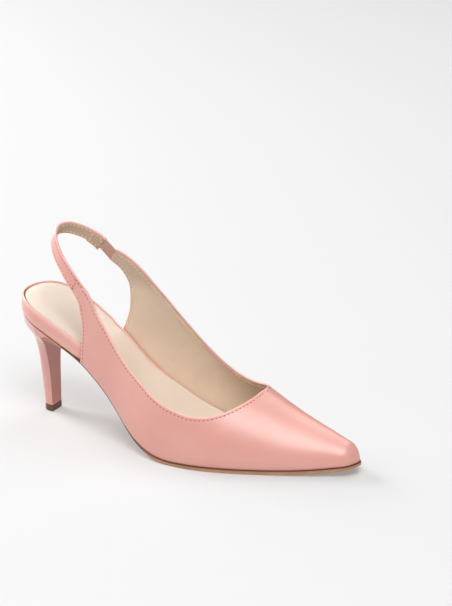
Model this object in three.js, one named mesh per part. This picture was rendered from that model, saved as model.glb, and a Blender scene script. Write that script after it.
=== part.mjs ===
import * as THREE from 'three';
import { mergeVertices } from 'three/addons/utils/BufferGeometryUtils.js';

// Right shoe of a pair of slingback pumps, millimetres, +Z up.
// +X runs from the seat to the toe, +Y is the medial side, -Y the lateral side.

// Driving dimensions
const LENGTH = 243;
const BALL_WIDTH = 79;
const SEAT_RISE = 70.7;
const TOE_SPRING = 5.4;
const THROAT_HEIGHT = 41;
const TIP_SHIFT = 3;
const SEAT_ROUND = 24;
const TOE_ROUND = 7;
const FIT = 0.3;

// Walls and layers
const UPPER_WALL = 1.6;
const SOLE_FOREPART = 2.8;
const SOLE_WAIST = 1.6;
const WELT = 0.8;
const WAIST_INSET = 0.4;
const SOLE_EDGE_ROUND = 0.3;
const INSOLE_BOARD = 2.2;
const SEAT_RIM = 10.2;
const SOCK_THICKNESS = 1;
const SOCK_INSET = 0.8;

// Heel and top piece
const HEEL_REACH = 24;
const TOP_PIECE_HEIGHT = 4.4;
const TOP_PIECE_EDGE = 0.35;
const TIP_WIDTH = 11;
const CUP_INSET = 1.8;

// Sling
const STRAP_THICKNESS = 2;
const END_GAP = 0.6;
const STRAP_WIDTH = 8.8;
const SLING_HEIGHT = 54;
const SLING_BACK = 24.3;
const ELASTIC_LENGTH = 8.5;
const ELASTIC_WIDTH = 7.6;
const ELASTIC_THICKNESS = 0.9;
const END_BLEND = 22;

// Slope of the shank's contact line across the sole, lateral side further back
const OBLIQUE_SHARE = 0.27;

// Underside of the outsole: share of the length, share of the seat's rise
const UNDERSIDE = [
  [0, 1], [0.03, 0.984], [0.072, 0.936], [0.117, 0.866], [0.162, 0.786], [0.228, 0.656],
  [0.278, 0.543], [0.339, 0.404], [0.401, 0.252], [0.462, 0.117], [0.512, 0.044],
  [0.557, 0.011], [0.606, 0], [0.656, 0], [1, 0],
];

// Toe spring: share of the length, share of the spring
const SPRING = [[0, 0], [0.6, 0], [0.72, 0], [0.8, 0.06], [0.88, 0.28], [0.94, 0.6], [1, 1]];

// Outsole thickness: share of the length, share of the way from waist to forepart
const SOLE_GROWTH = [[0, 0], [0.2, 0], [0.33, 0.17], [0.45, 0.67], [0.55, 1], [1, 1]];

// Feather line in plan: share of the length, lateral and medial shares of the ball width
const PLAN = [
  [0, 0.329, 0.329], [0.07, 0.329, 0.327], [0.12, 0.333, 0.33], [0.17, 0.329, 0.322],
  [0.227, 0.321, 0.307], [0.288, 0.342, 0.295], [0.353, 0.402, 0.306], [0.414, 0.481, 0.338],
  [0.48, 0.55, 0.384], [0.545, 0.576, 0.417], [0.606, 0.569, 0.424], [0.666, 0.533, 0.404],
  [0.732, 0.466, 0.356], [0.792, 0.394, 0.294], [0.853, 0.317, 0.226], [0.914, 0.233, 0.16],
  [0.959, 0.165, 0.114], [1, 0.108, 0.07],
];

// Girth: share of the length, crest height in throat heights, shoulder share of the half
// width, share of the height where the side leaves the feather line, side bulge in throat heights
const GIRTH = [
  [0.192, 2.54, 0.88, 0.3, 0.037], [0.278, 2.43, 0.87, 0.3, 0.039], [0.358, 2.2, 0.85, 0.3, 0.049],
  [0.444, 1.985, 0.83, 0.31, 0.063], [0.525, 1.735, 0.79, 0.33, 0.073], [0.606, 1.4, 0.72, 0.36, 0.078],
  [0.666, 1.17, 0.63, 0.39, 0.078], [0.725, 1, 0.55, 0.42, 0.073], [0.797, 0.793, 0.49, 0.45, 0.063],
  [0.865, 0.61, 0.47, 0.48, 0.051], [0.914, 0.478, 0.47, 0.5, 0.041], [0.959, 0.342, 0.5, 0.52, 0.032],
  [1, 0.215, 0.55, 0.55, 0.022],
];

// Topline of each quarter, front of its end edge to the throat: share of the length, share of
// the way from feather line to crest
const TOPLINE = {
  lateral: [
    [0.239, 0.429], [0.2566, 0.417], [0.2701, 0.4], [0.2773, 0.386], [0.299, 0.373],
    [0.348, 0.362], [0.385, 0.369], [0.4415, 0.388], [0.513, 0.384], [0.5595, 0.391],
    [0.601, 0.41], [0.6375, 0.455], [0.669, 0.532], [0.6965, 0.645], [0.718, 0.805], [0.725, 1],
  ],
  medial: [
    [0.232, 0.512], [0.28, 0.558], [0.3095, 0.577], [0.3415, 0.586], [0.385, 0.581],
    [0.427, 0.56], [0.4675, 0.527], [0.5045, 0.496], [0.543, 0.471], [0.5785, 0.463],
    [0.6185, 0.486], [0.6595, 0.557], [0.6995, 0.71], [0.718, 0.86], [0.725, 1],
  ],
};

// Rear edge of each quarter, feather line to end edge, then across the end edge to the topline
const REAR_EDGE = {
  lateral: [
    [0.226, 0], [0.228, 0.04], [0.2297, 0.08], [0.2312, 0.12], [0.2325, 0.16],
    [0.2335, 0.2], [0.2335, 0.235], [0.231, 0.268], [0.2267, 0.295], [0.2233, 0.324],
    [0.2125, 0.342], [0.2, 0.36], [0.2195, 0.395], [0.239, 0.429],
  ],
  medial: [
    [0.2276, 0], [0.2352, 0.05], [0.2419, 0.103], [0.251, 0.155], [0.2578, 0.199],
    [0.2633, 0.245], [0.2662, 0.281], [0.2678, 0.334], [0.2668, 0.383], [0.2549, 0.411],
    [0.2377, 0.423], [0.2014, 0.41], [0.2167, 0.461], [0.232, 0.512],
  ],
};

// Rows of the quarters' grid in front of the rear edge, as shares of the height to the topline
const ROWS = {
  lateral: [0, 0.1, 0.2, 0.3, 0.4, 0.49, 0.57, 0.64, 0.7, 0.76, 0.82, 0.88, 0.94, 1],
  medial: [0, 0.09, 0.18, 0.27, 0.355, 0.43, 0.5, 0.585, 0.665, 0.73, 0.785, 0.87, 0.935, 1],
};
const REAR_ZONE_END = 0.363;
const THROAT_FOOT_SHARE = 0.78;

// Heel block: share of the height, back and breast as shares of the reach, width in tip widths
const HEEL = [
  [0, 0.53, 0.855, 1], [0.06, 0.525, 0.85, 1], [0.32, 0.45, 0.83, 1.12], [0.52, 0.39, 0.805, 1.3],
  [0.66, 0.325, 0.785, 1.62], [0.78, 0.24, 0.78, 2.15], [0.88, 0.15, 0.81, 2.95], [1, 0.05, 0.95, 4.2],
];

// Sling path from an end of the quarters to the back: share of the way forward from the
// back, share of the end's half width, share of the rise on the lateral and medial side
const SLING = [[0.684, 0.927, 0.323, 0.452], [0.34, 0.717, 0.639, 0.778], [0.09, 0.398, 0.885, 0.969]];
const SLING_LEAN = 0.37;

// Interpolation helpers
function naturalSpline(rows, column) {
  const xs = rows.map((row) => row[0]);
  const ys = rows.map((row) => row[column]);
  const count = xs.length;
  const bend = new Array(count).fill(0);
  const upper = new Array(count).fill(0);
  for (let i = 1; i < count - 1; i += 1) {
    const before = xs[i] - xs[i - 1];
    const after = xs[i + 1] - xs[i];
    const turn = 6 * ((ys[i + 1] - ys[i]) / after - (ys[i] - ys[i - 1]) / before);
    const pivot = 2 * (before + after) - before * upper[i - 1];
    upper[i] = after / pivot;
    bend[i] = (turn - before * bend[i - 1]) / pivot;
  }
  for (let i = count - 2; i > 0; i -= 1) bend[i] -= upper[i] * bend[i + 1];
  return (value) => {
    const x = THREE.MathUtils.clamp(value, xs[0], xs[count - 1]);
    let i = 0;
    while (i < count - 2 && x >= xs[i + 1]) i += 1;
    const step = xs[i + 1] - xs[i];
    const a = (xs[i + 1] - x) / step;
    const b = 1 - a;
    const curve = ((a ** 3 - a) * bend[i] + (b ** 3 - b) * bend[i + 1]) * step * step / 6;
    return a * ys[i] + b * ys[i + 1] + curve;
  };
}

const smooth = (from, to, x) => THREE.MathUtils.smoothstep(x, from, to);
const lerp = THREE.MathUtils.lerp;
const range = (count) => Array.from({ length: count + 1 }, (unused, i) => i / count);

const undersideShare = naturalSpline(UNDERSIDE, 1);
const springShare = naturalSpline(SPRING, 1);
const soleShare = naturalSpline(SOLE_GROWTH, 1);
const planShare = { lateral: naturalSpline(PLAN, 1), medial: naturalSpline(PLAN, 2) };
const crestShare = naturalSpline(GIRTH, 1);
const shoulderShare = naturalSpline(GIRTH, 2);
const riseShare = naturalSpline(GIRTH, 3);
const bulgeShare = naturalSpline(GIRTH, 4);

// Last: feather line in plan, sole heights and the surface between feather line and crest
const sign = { lateral: -1, medial: 1 };
const opposite = { lateral: 'medial', medial: 'lateral' };
const axisY = (x) => TIP_SHIFT * smooth(0.36, 1, x / LENGTH);

function endRound(x) {
  const seat = THREE.MathUtils.clamp((SEAT_ROUND - x) / SEAT_ROUND, 0, 1);
  const toe = THREE.MathUtils.clamp((x - LENGTH + TOE_ROUND) / TOE_ROUND, 0, 1);
  return Math.sqrt(1 - seat * seat) * Math.sqrt(1 - toe * toe);
}

function edgeY(x, side) {
  return axisY(x) + sign[side] * BALL_WIDTH * planShare[side](x / LENGTH) * endRound(x);
}

const GROUND_SETTLE = 0.1;

function undersideZ(x, y) {
  const share = x / LENGTH;
  const oblique = OBLIQUE_SHARE * smooth(0.17, 0.42, share) * (1 - smooth(0.66, 0.86, share));
  const rise = SEAT_RISE * undersideShare((x - oblique * y) / LENGTH) - GROUND_SETTLE;
  return Math.max(0, rise) + TOE_SPRING * Math.max(0, springShare(share));
}

function featherZ(x, y) {
  return undersideZ(x, y) + lerp(SOLE_WAIST, SOLE_FOREPART, soleShare(x / LENGTH));
}

function lastPoint(x, girth, side) {
  const share = x / LENGTH;
  const middle = axisY(x);
  const footY = edgeY(x, side);
  const footZ = featherZ(x, footY);
  const topZ = featherZ(x, middle) + THROAT_HEIGHT * crestShare(share) * endRound(x);
  const bulge = sign[side] * THROAT_HEIGHT * bulgeShare(share) * endRound(x);
  const foot = new THREE.Vector3(x, footY, footZ);
  const side1 = new THREE.Vector3(x, footY + bulge, footZ + (topZ - footZ) * riseShare(share));
  const side2 = new THREE.Vector3(x, lerp(middle, footY, shoulderShare(share)), topZ);
  const crest = new THREE.Vector3(x, middle, topZ);
  return new THREE.CubicBezierCurve3(foot, side1, side2, crest).getPoint(girth);
}

function lastNormal(x, girth, side) {
  const step = 0.05;
  const span = 0.004;
  const back = Math.max(0, Math.min(x, LENGTH - step) - step);
  const front = Math.min(LENGTH, back + 2 * step);
  if (x > LENGTH - step / 10) return new THREE.Vector3(1, 0, 0);
  const low = Math.max(0, girth - span);
  const high = Math.min(1, girth + span);
  const along = lastPoint(front, girth, side).sub(lastPoint(back, girth, side));
  const up = lastPoint(x, high, side).sub(lastPoint(x, low, side));
  return along.cross(up).multiplyScalar(-sign[side]).normalize();
}

// Closed solids
function closedMesh(name, triangles, colour, roughness) {
  const raw = new THREE.BufferGeometry();
  const numbers = triangles.flatMap((triangle) => triangle.flatMap((p) => [p.x, p.y, p.z]));
  raw.setAttribute('position', new THREE.Float32BufferAttribute(numbers, 3));
  const geometry = mergeVertices(raw, 1e-3);
  const index = Array.from(geometry.index.array);
  const kept = [];
  for (let i = 0; i < index.length; i += 3) {
    const [a, b, c] = index.slice(i, i + 3);
    if (a !== b && b !== c && c !== a) kept.push(a, b, c);
  }
  const at = (i) => new THREE.Vector3().fromBufferAttribute(geometry.attributes.position, i);
  let volume = 0;
  for (let i = 0; i < kept.length; i += 3) {
    volume += at(kept[i]).dot(at(kept[i + 1]).cross(at(kept[i + 2])));
  }
  if (volume < 0) kept.reverse();
  geometry.setIndex(kept);
  geometry.computeVertexNormals();
  const material = new THREE.MeshStandardMaterial({ color: colour, roughness, metalness: 0 });
  const mesh = new THREE.Mesh(geometry, material);
  mesh.name = name;
  return mesh;
}

// Triangles of a grid of points; flip turns the faces over
function gridTriangles(grid, flip = false) {
  const triangles = [];
  for (let i = 0; i + 1 < grid.length; i += 1) {
    for (let j = 0; j + 1 < grid[i].length; j += 1) {
      const [a, b, c, d] = [grid[i][j], grid[i + 1][j], grid[i + 1][j + 1], grid[i][j + 1]];
      if (flip) triangles.push([a, c, b], [a, d, c]);
      else triangles.push([a, b, c], [a, c, d]);
    }
  }
  return triangles;
}

// Layers of the bottom: an inset feather outline stacked in rings, capped below and above
function outlinePoint(x, side, inset) {
  if (x <= 0) return [inset, axisY(0)];
  if (x >= LENGTH) return [LENGTH - inset, axisY(LENGTH)];
  const step = 0.05;
  const back = Math.max(0, Math.min(x - step / 2, LENGTH - step));
  const rise = edgeY(back + step, side) - edgeY(back, side);
  const size = Math.hypot(step, rise);
  const inwardX = sign[side] * rise / size;
  const inwardY = -sign[side] * step / size;
  return [x + inwardX * inset, edgeY(x, side) + inwardY * inset];
}

function crossRow(x, ring, columns) {
  const left = outlinePoint(x, 'lateral', ring.inset(x, 'lateral'));
  const right = outlinePoint(x, 'medial', ring.inset(x, 'medial'));
  return range(columns).map((share) => {
    const px = lerp(left[0], right[0], share);
    const py = lerp(left[1], right[1], share);
    return new THREE.Vector3(px, py, ring.height(px, py));
  });
}

function layerTriangles(stations, rings, columns) {
  const rows = rings.map((ring) => stations.map((x) => crossRow(x, ring, columns)));
  const loop = (grid) => {
    const last = grid.length - 1;
    const lateral = grid.map((row) => row[0]);
    const medial = grid.map((row) => row[columns]).reverse();
    const front = grid[last].slice(1, columns);
    const back = grid[0].slice(1, columns).reverse();
    return [...lateral, ...front, ...medial, ...back, lateral[0]];
  };
  const bottom = gridTriangles(rows[0], true);
  const top = gridTriangles(rows[rings.length - 1]);
  const wall = gridTriangles(rows.map(loop), true);
  return [...bottom, ...top, ...wall];
}

// Stations close up where an end is round
function stationsBetween(from, to, count, roundBack, roundFront) {
  return range(count).map((share) => {
    const angle = (1 - Math.cos(Math.PI * share)) / 2;
    const backPull = roundBack ? 1 - smooth(0, 0.5, share) : 0;
    const frontPull = roundFront ? smooth(0.5, 1, share) : 0;
    return lerp(from, to, lerp(share, angle, backPull + frontPull));
  });
}

function buildOutsole() {
  const inset = (x) => lerp(WAIST_INSET, -WELT, smooth(0.36, 0.5, x / LENGTH));
  const rings = [
    { inset: (x) => inset(x) + SOLE_EDGE_ROUND, height: undersideZ },
    { inset, height: (x, y) => lerp(undersideZ(x, y), featherZ(x, y), 0.25) },
    { inset, height: featherZ },
  ];
  const stations = stationsBetween(HEEL_REACH + FIT, LENGTH, 44, false, true);
  return closedMesh('outsole', layerTriangles(stations, rings, 6), 0xb98a62, 0.55);
}

const TOP_ROUNDING = 0.16;
const rimHeight = (x) => lerp(SEAT_RIM, INSOLE_BOARD, smooth(0.23, 0.37, x / LENGTH));
const underUpper = (x) => (UPPER_WALL + 2 * FIT) * smooth(0.175, 0.215, x / LENGTH);
const insoleTopZ = (x, y) => featherZ(x, y) + FIT + rimHeight(x);

function buildInsole() {
  const ring = (insetShare, heightShare) => ({
    inset: (x) => underUpper(x) + insetShare * rimHeight(x),
    height: (x, y) => featherZ(x, y) + FIT + heightShare * rimHeight(x),
  });
  const rings = [
    ring(0.22, 0), ring(0.06, 0.12), ring(0.01, 0.3), ring(0, 0.78), ring(0.05, 0.94), ring(TOP_ROUNDING, 1),
  ];
  const stations = stationsBetween(0, LENGTH, 46, true, true);
  return closedMesh('insole', layerTriangles(stations, rings, 4), 0xe09a8c, 0.45);
}

function buildSock() {
  const inset = (x) => underUpper(x) + TOP_ROUNDING * rimHeight(x) + SOCK_INSET;
  const rings = [
    { inset, height: (x, y) => insoleTopZ(x, y) + FIT },
    { inset, height: (x, y) => insoleTopZ(x, y) + FIT + SOCK_THICKNESS },
  ];
  const stations = stationsBetween(0, 0.9 * LENGTH, 44, true, false);
  return closedMesh('sock', layerTriangles(stations, rings, 4), 0xecdccb, 0.7);
}

// Upper: columns from feather line to topline, and to the crest in front of the throat
const GIRTH_LENGTH = 60;

function quarterColumns(side) {
  const rows = ROWS[side];
  const last = rows.length - 1;
  const top = TOPLINE[side].map(([x, q]) => new THREE.Vector3(x * LENGTH, q * GIRTH_LENGTH, 0));
  const topline = new THREE.CatmullRomCurve3(top, false, 'centripetal').getSpacedPoints(28);
  const crossing = topline.findIndex((point) => point.x > REAR_ZONE_END * LENGTH);
  const zoneEnd = topline[crossing].x;
  const zoneGirth = topline[crossing].y / GIRTH_LENGTH;
  return topline.map((point, i) => {
    const girth = point.y / GIRTH_LENGTH;
    if (i >= crossing) {
      const forward = (i - crossing) / (topline.length - 1 - crossing);
      const footX = lerp(zoneEnd, THROAT_FOOT_SHARE * LENGTH, forward);
      return rows.map((row) => [lerp(footX, point.x, row), row * girth]);
    }
    const share = (point.x - topline[0].x) / (zoneEnd - topline[0].x);
    const topError = girth - lerp(REAR_EDGE[side][last][1], zoneGirth, share);
    return rows.map((row, j) => {
      const [edgeX, edgeGirth] = REAR_EDGE[side][j];
      const x = lerp(edgeX * LENGTH, zoneEnd, share);
      return [x, lerp(edgeGirth, row * zoneGirth, share) + topError * row * row];
    });
  });
}

function vampColumns(side) {
  const throat = TOPLINE[side][TOPLINE[side].length - 1][0];
  const forward = stationsBetween(0, 1, 20, false, true).slice(1);
  return forward.map((share) => ROWS[side].map((row) => {
    const start = lerp(THROAT_FOOT_SHARE, throat, row);
    return [LENGTH * lerp(start, 1, share), row];
  }));
}

function shellPoint(x, girth, side, depth) {
  const normal = lastNormal(x, girth, side);
  if (girth === 0) normal.setZ(0).normalize();
  if (girth > 1 - 1e-6) normal.add(lastNormal(x, girth, opposite[side])).normalize();
  const point = lastPoint(x, girth, side).addScaledVector(normal, -depth);
  return point.setZ(point.z + FIT);
}

const upperColumns = (side) => [...quarterColumns(side), ...vampColumns(side)];

function shellGrid(side, depth) {
  return upperColumns(side).map((column) => column.map(([x, q]) => shellPoint(x, q, side, depth)));
}

function buildUpper() {
  const triangles = [];
  for (const side of ['lateral', 'medial']) {
    const outer = shellGrid(side, 0);
    const inner = shellGrid(side, UPPER_WALL);
    const flip = side === 'medial';
    const quarterCount = quarterColumns(side).length;
    const last = outer[0].length - 1;
    triangles.push(...gridTriangles(outer, flip), ...gridTriangles(inner, !flip));
    const feather = [inner.map((column) => column[0]), outer.map((column) => column[0])];
    const rear = [outer[0], inner[0]];
    const rim = [outer, inner].map((grid) => grid.slice(0, quarterCount).map((column) => column[last]));
    triangles.push(...gridTriangles(feather, !flip));
    triangles.push(...gridTriangles(rear, !flip));
    triangles.push(...gridTriangles(rim, !flip));
  }
  return closedMesh('upper', triangles, 0xe6a596, 0.35);
}

// Heel block and top piece: D sections, crisp at the breast and round at the back
const heelBack = naturalSpline(HEEL, 1);
const heelBreast = naturalSpline(HEEL, 2);
const heelWidth = naturalSpline(HEEL, 3);
const SECTION_SQUARENESS = 0.78;

function heelSection(turn, z) {
  const share = z / SEAT_RISE;
  const angle = turn * Math.PI / 2;
  const back = heelBack(share) * HEEL_REACH;
  const breast = heelBreast(share) * HEEL_REACH;
  const half = heelWidth(share) * TIP_WIDTH / 2;
  const x = breast - (breast - back) * Math.cos(angle) ** SECTION_SQUARENESS;
  const y = half * Math.sign(turn) * Math.abs(Math.sin(angle)) ** SECTION_SQUARENESS;
  return new THREE.Vector3(x, y, z);
}

function cupPoint(turn) {
  const side = turn < 0 ? 'lateral' : 'medial';
  const x = HEEL_REACH * (1 - Math.cos(turn * Math.PI / 2));
  const [px, py] = outlinePoint(x, side, CUP_INSET);
  return new THREE.Vector3(px, py, featherZ(px, py) - FIT);
}

function heelPoint(turn, share) {
  const cup = cupPoint(turn);
  const start = TOP_PIECE_HEIGHT + FIT;
  const z = lerp(start, cup.z, share);
  const body = heelSection(turn, z * SEAT_RISE / cup.z);
  const flare = smooth(0.72, 1, share) ** 1.6;
  return new THREE.Vector3(lerp(body.x, cup.x, flare), lerp(body.y, cup.y, flare), z);
}

// Loft of D loops; the caps are strips between the two sides of a loop
function loftTriangles(loops) {
  const closed = loops.map((loop) => [...loop, loop[0]]);
  const cap = (loop) => {
    const half = (loop.length - 1) / 2;
    return gridTriangles(range(half).map((unused, i) => [loop[half - i], loop[half + i]]));
  };
  const last = loops.length - 1;
  return [...gridTriangles(closed), ...cap(loops[last]), ...cap(loops[0]).map(([a, b, c]) => [a, c, b])];
}

const TURNS = range(28).map((share) => 2 * share - 1);

function buildHeel() {
  const shares = range(13).map((share) => share ** 0.85);
  const loops = shares.map((share) => TURNS.map((turn) => heelPoint(turn, share)));
  return closedMesh('heel', loftTriangles(loops), 0xdb9485, 0.35);
}

function buildTopPiece() {
  const scaled = (z, shrink) => TURNS.map((turn) => {
    const point = heelSection(turn, z);
    const centre = heelSection(0, z).lerp(new THREE.Vector3(heelBreast(0) * HEEL_REACH, 0, z), 0.5);
    return point.lerp(centre, shrink);
  });
  const loops = [scaled(0, 0.09), scaled(TOP_PIECE_EDGE, 0.02), scaled(TOP_PIECE_HEIGHT, 0)];
  return closedMesh('top_piece', loftTriangles(loops), 0x7a5540, 0.6);
}

// Sling: one path for strap and elastic, from quarter to quarter
function endEdge(side) {
  const rows = REAR_EDGE[side];
  const mid = rows.length - 1;
  const low = shellPoint(rows[mid - 2][0] * LENGTH, rows[mid - 2][1], side, UPPER_WALL / 2);
  const high = shellPoint(rows[mid][0] * LENGTH, rows[mid][1], side, UPPER_WALL / 2);
  return { low, high, centre: low.clone().lerp(high, 0.5) };
}

function slingPath() {
  const backZ = featherZ(0, 0) + SLING_HEIGHT;
  const run = (side) => {
    const end = endEdge(side).centre;
    const points = SLING.map(([forward, across, ...rise]) => new THREE.Vector3(
      lerp(SLING_BACK, end.x, forward),
      across * end.y,
      lerp(end.z, backZ, rise[side === 'lateral' ? 0 : 1]),
    ));
    return [end, ...points];
  };
  const back = new THREE.Vector3(SLING_BACK, 0, backZ);
  const points = [...run('lateral'), back, ...run('medial').reverse()];
  return new THREE.CatmullRomCurve3(points, false, 'centripetal');
}

const LEAN = new THREE.Vector3(Math.sin(SLING_LEAN), 0, Math.cos(SLING_LEAN));

function bandSection(path, distance, total, width, thickness) {
  const centre = path.getPointAt(distance / total);
  const tangent = path.getTangentAt(distance / total);
  const start = endEdge('lateral');
  const end = endEdge('medial');
  const fixed = [start.high.clone().sub(start.low), end.high.clone().sub(end.low)];
  const startShare = 1 - smooth(0, END_BLEND, distance);
  const endShare = smooth(total - END_BLEND, total, distance);
  const across = LEAN.clone().addScaledVector(tangent, -LEAN.dot(tangent)).setLength(STRAP_WIDTH);
  across.lerp(fixed[0], startShare).lerp(fixed[1], endShare);
  across.multiplyScalar(width / STRAP_WIDTH);
  const outward = across.clone().cross(tangent).setLength(thickness / 2);
  return { centre, across, outward };
}

function bandTriangles(path, from, to, steps, width, thickness) {
  const total = path.getLength();
  const columns = 3;
  const loops = range(steps).map((share) => {
    const { centre, across, outward } = bandSection(path, lerp(from, to, share), total, width, thickness);
    const point = (k, face) => {
      const place = centre.clone().addScaledVector(across, k / columns - 0.5);
      return place.addScaledVector(outward, face);
    };
    const outside = [0, 1, 2, 3].map((k) => point(k, 1));
    const inside = [3, 2, 1, 0].map((k) => point(k, -1));
    return [...outside, ...inside, outside[0]];
  });
  const cap = (loop) => gridTriangles([loop.slice(0, 4), loop.slice(4, 8).reverse()]);
  const end = cap(loops[steps]);
  const start = cap(loops[0]).map(([a, b, c]) => [a, c, b]);
  return [...gridTriangles(loops), ...end, ...start];
}

function buildSling() {
  const path = slingPath();
  path.arcLengthDivisions = 400;
  const total = path.getLength();
  const elasticStart = total - END_GAP - ELASTIC_LENGTH;
  const strapEnd = elasticStart - FIT;
  const elasticEnd = total - END_GAP;
  const strap = bandTriangles(path, END_GAP, strapEnd, 40, STRAP_WIDTH, STRAP_THICKNESS);
  const elastic = bandTriangles(path, elasticStart, elasticEnd, 5, ELASTIC_WIDTH, ELASTIC_THICKNESS);
  return [
    closedMesh('sling_strap', strap, 0xe0998b, 0.4),
    closedMesh('elastic', elastic, 0x9c7468, 0.85),
  ];
}

const shoe = new THREE.Group();
shoe.add(buildOutsole(), buildInsole(), buildSock(), buildUpper());
shoe.add(buildHeel(), buildTopPiece(), ...buildSling());
const groundCentre = (heelBack(0) + heelBreast(0)) * HEEL_REACH / 2;
shoe.position.x = -groundCentre;

export default shoe;
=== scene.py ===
import math

import bmesh
import bpy
import numpy as np
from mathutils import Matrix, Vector


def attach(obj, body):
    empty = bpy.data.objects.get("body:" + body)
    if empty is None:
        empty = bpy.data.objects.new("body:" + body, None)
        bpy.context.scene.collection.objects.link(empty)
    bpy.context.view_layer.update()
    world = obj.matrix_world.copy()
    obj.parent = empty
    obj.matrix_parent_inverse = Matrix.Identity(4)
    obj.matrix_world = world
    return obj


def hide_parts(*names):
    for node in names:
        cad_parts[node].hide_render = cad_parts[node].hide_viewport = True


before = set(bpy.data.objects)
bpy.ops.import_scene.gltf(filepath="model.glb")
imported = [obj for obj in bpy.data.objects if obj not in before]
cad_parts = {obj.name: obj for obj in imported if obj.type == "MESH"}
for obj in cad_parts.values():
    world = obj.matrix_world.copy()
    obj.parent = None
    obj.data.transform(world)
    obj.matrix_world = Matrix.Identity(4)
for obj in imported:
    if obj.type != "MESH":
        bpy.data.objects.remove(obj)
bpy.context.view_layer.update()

# The same named sizes and tables as the CAD source, in millimetres
MM = 0.001
LENGTH = 243.0
BALL_WIDTH = 79.0
SEAT_RISE = 70.7
TOE_SPRING = 5.4
THROAT_HEIGHT = 41.0
TIP_SHIFT = 3.0
SEAT_ROUND = 24.0
TOE_ROUND = 7.0
FIT = 0.3
UPPER_WALL = 1.6
SOLE_FOREPART = 2.8
SOLE_WAIST = 1.6
WELT = 0.8
WAIST_INSET = 0.4
SOLE_EDGE_ROUND = 0.3
INSOLE_BOARD = 2.2
SEAT_RIM = 10.2
SOCK_THICKNESS = 1.0
SOCK_INSET = 0.8
HEEL_REACH = 24.0
TOP_PIECE_HEIGHT = 4.4
TIP_WIDTH = 11.0
CUP_INSET = 1.8
CUP_FILL = 0.8
STRAP_THICKNESS = 2.0
END_GAP = 0.6
STRAP_WIDTH = 8.8
SLING_HEIGHT = 54.0
SLING_BACK = 24.3
ELASTIC_LENGTH = 8.5
ELASTIC_WIDTH = 7.6
ELASTIC_THICKNESS = 0.9
END_BLEND = 22.0
GROUND_SETTLE = 0.1
OBLIQUE_SHARE = 0.27
TOP_ROUNDING = 0.16
SECTION_SQUARENESS = 0.78
SLING_LEAN = 0.37
REAR_ZONE_END = 0.363
THROAT_FOOT_SHARE = 0.78
GIRTH_LENGTH = 60.0
LATERAL = -1
MEDIAL = 1

UNDERSIDE = [
    (0, 1), (0.03, 0.984), (0.072, 0.936), (0.117, 0.866), (0.162, 0.786), (0.228, 0.656),
    (0.278, 0.543), (0.339, 0.404), (0.401, 0.252), (0.462, 0.117), (0.512, 0.044),
    (0.557, 0.011), (0.606, 0), (0.656, 0), (1, 0)]
SPRING = [(0, 0), (0.6, 0), (0.72, 0), (0.8, 0.06), (0.88, 0.28), (0.94, 0.6), (1, 1)]
SOLE_GROWTH = [(0, 0), (0.2, 0), (0.33, 0.17), (0.45, 0.67), (0.55, 1), (1, 1)]
PLAN = [
    (0, 0.329, 0.329), (0.07, 0.329, 0.327), (0.12, 0.333, 0.33), (0.17, 0.329, 0.322),
    (0.227, 0.321, 0.307), (0.288, 0.342, 0.295), (0.353, 0.402, 0.306), (0.414, 0.481, 0.338),
    (0.48, 0.55, 0.384), (0.545, 0.576, 0.417), (0.606, 0.569, 0.424), (0.666, 0.533, 0.404),
    (0.732, 0.466, 0.356), (0.792, 0.394, 0.294), (0.853, 0.317, 0.226), (0.914, 0.233, 0.16),
    (0.959, 0.165, 0.114), (1, 0.108, 0.07)]
GIRTH = [
    (0.192, 2.54, 0.88, 0.3, 0.037), (0.278, 2.43, 0.87, 0.3, 0.039), (0.358, 2.2, 0.85, 0.3, 0.049),
    (0.444, 1.985, 0.83, 0.31, 0.063), (0.525, 1.735, 0.79, 0.33, 0.073), (0.606, 1.4, 0.72, 0.36, 0.078),
    (0.666, 1.17, 0.63, 0.39, 0.078), (0.725, 1, 0.55, 0.42, 0.073), (0.797, 0.793, 0.49, 0.45, 0.063),
    (0.865, 0.61, 0.47, 0.48, 0.051), (0.914, 0.478, 0.47, 0.5, 0.041), (0.959, 0.342, 0.5, 0.52, 0.032),
    (1, 0.215, 0.55, 0.55, 0.022)]
TOPLINE = {
    LATERAL: [
        (0.239, 0.429), (0.2566, 0.417), (0.2701, 0.4), (0.2773, 0.386), (0.299, 0.373),
        (0.348, 0.362), (0.385, 0.369), (0.4415, 0.388), (0.513, 0.384), (0.5595, 0.391),
        (0.601, 0.41), (0.6375, 0.455), (0.669, 0.532), (0.6965, 0.645), (0.718, 0.805), (0.725, 1)],
    MEDIAL: [
        (0.232, 0.512), (0.28, 0.558), (0.3095, 0.577), (0.3415, 0.586), (0.385, 0.581),
        (0.427, 0.56), (0.4675, 0.527), (0.5045, 0.496), (0.543, 0.471), (0.5785, 0.463),
        (0.6185, 0.486), (0.6595, 0.557), (0.6995, 0.71), (0.718, 0.86), (0.725, 1)],
}
REAR_EDGE = {
    LATERAL: [
        (0.226, 0), (0.228, 0.04), (0.2297, 0.08), (0.2312, 0.12), (0.2325, 0.16),
        (0.2335, 0.2), (0.2335, 0.235), (0.231, 0.268), (0.2267, 0.295), (0.2233, 0.324),
        (0.2125, 0.342), (0.2, 0.36), (0.2195, 0.395), (0.239, 0.429)],
    MEDIAL: [
        (0.2276, 0), (0.2352, 0.05), (0.2419, 0.103), (0.251, 0.155), (0.2578, 0.199),
        (0.2633, 0.245), (0.2662, 0.281), (0.2678, 0.334), (0.2668, 0.383), (0.2549, 0.411),
        (0.2377, 0.423), (0.2014, 0.41), (0.2167, 0.461), (0.232, 0.512)],
}
ROWS = {
    LATERAL: [0, 0.1, 0.2, 0.3, 0.4, 0.49, 0.57, 0.64, 0.7, 0.76, 0.82, 0.88, 0.94, 1],
    MEDIAL: [0, 0.09, 0.18, 0.27, 0.355, 0.43, 0.5, 0.585, 0.665, 0.73, 0.785, 0.87, 0.935, 1],
}
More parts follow.
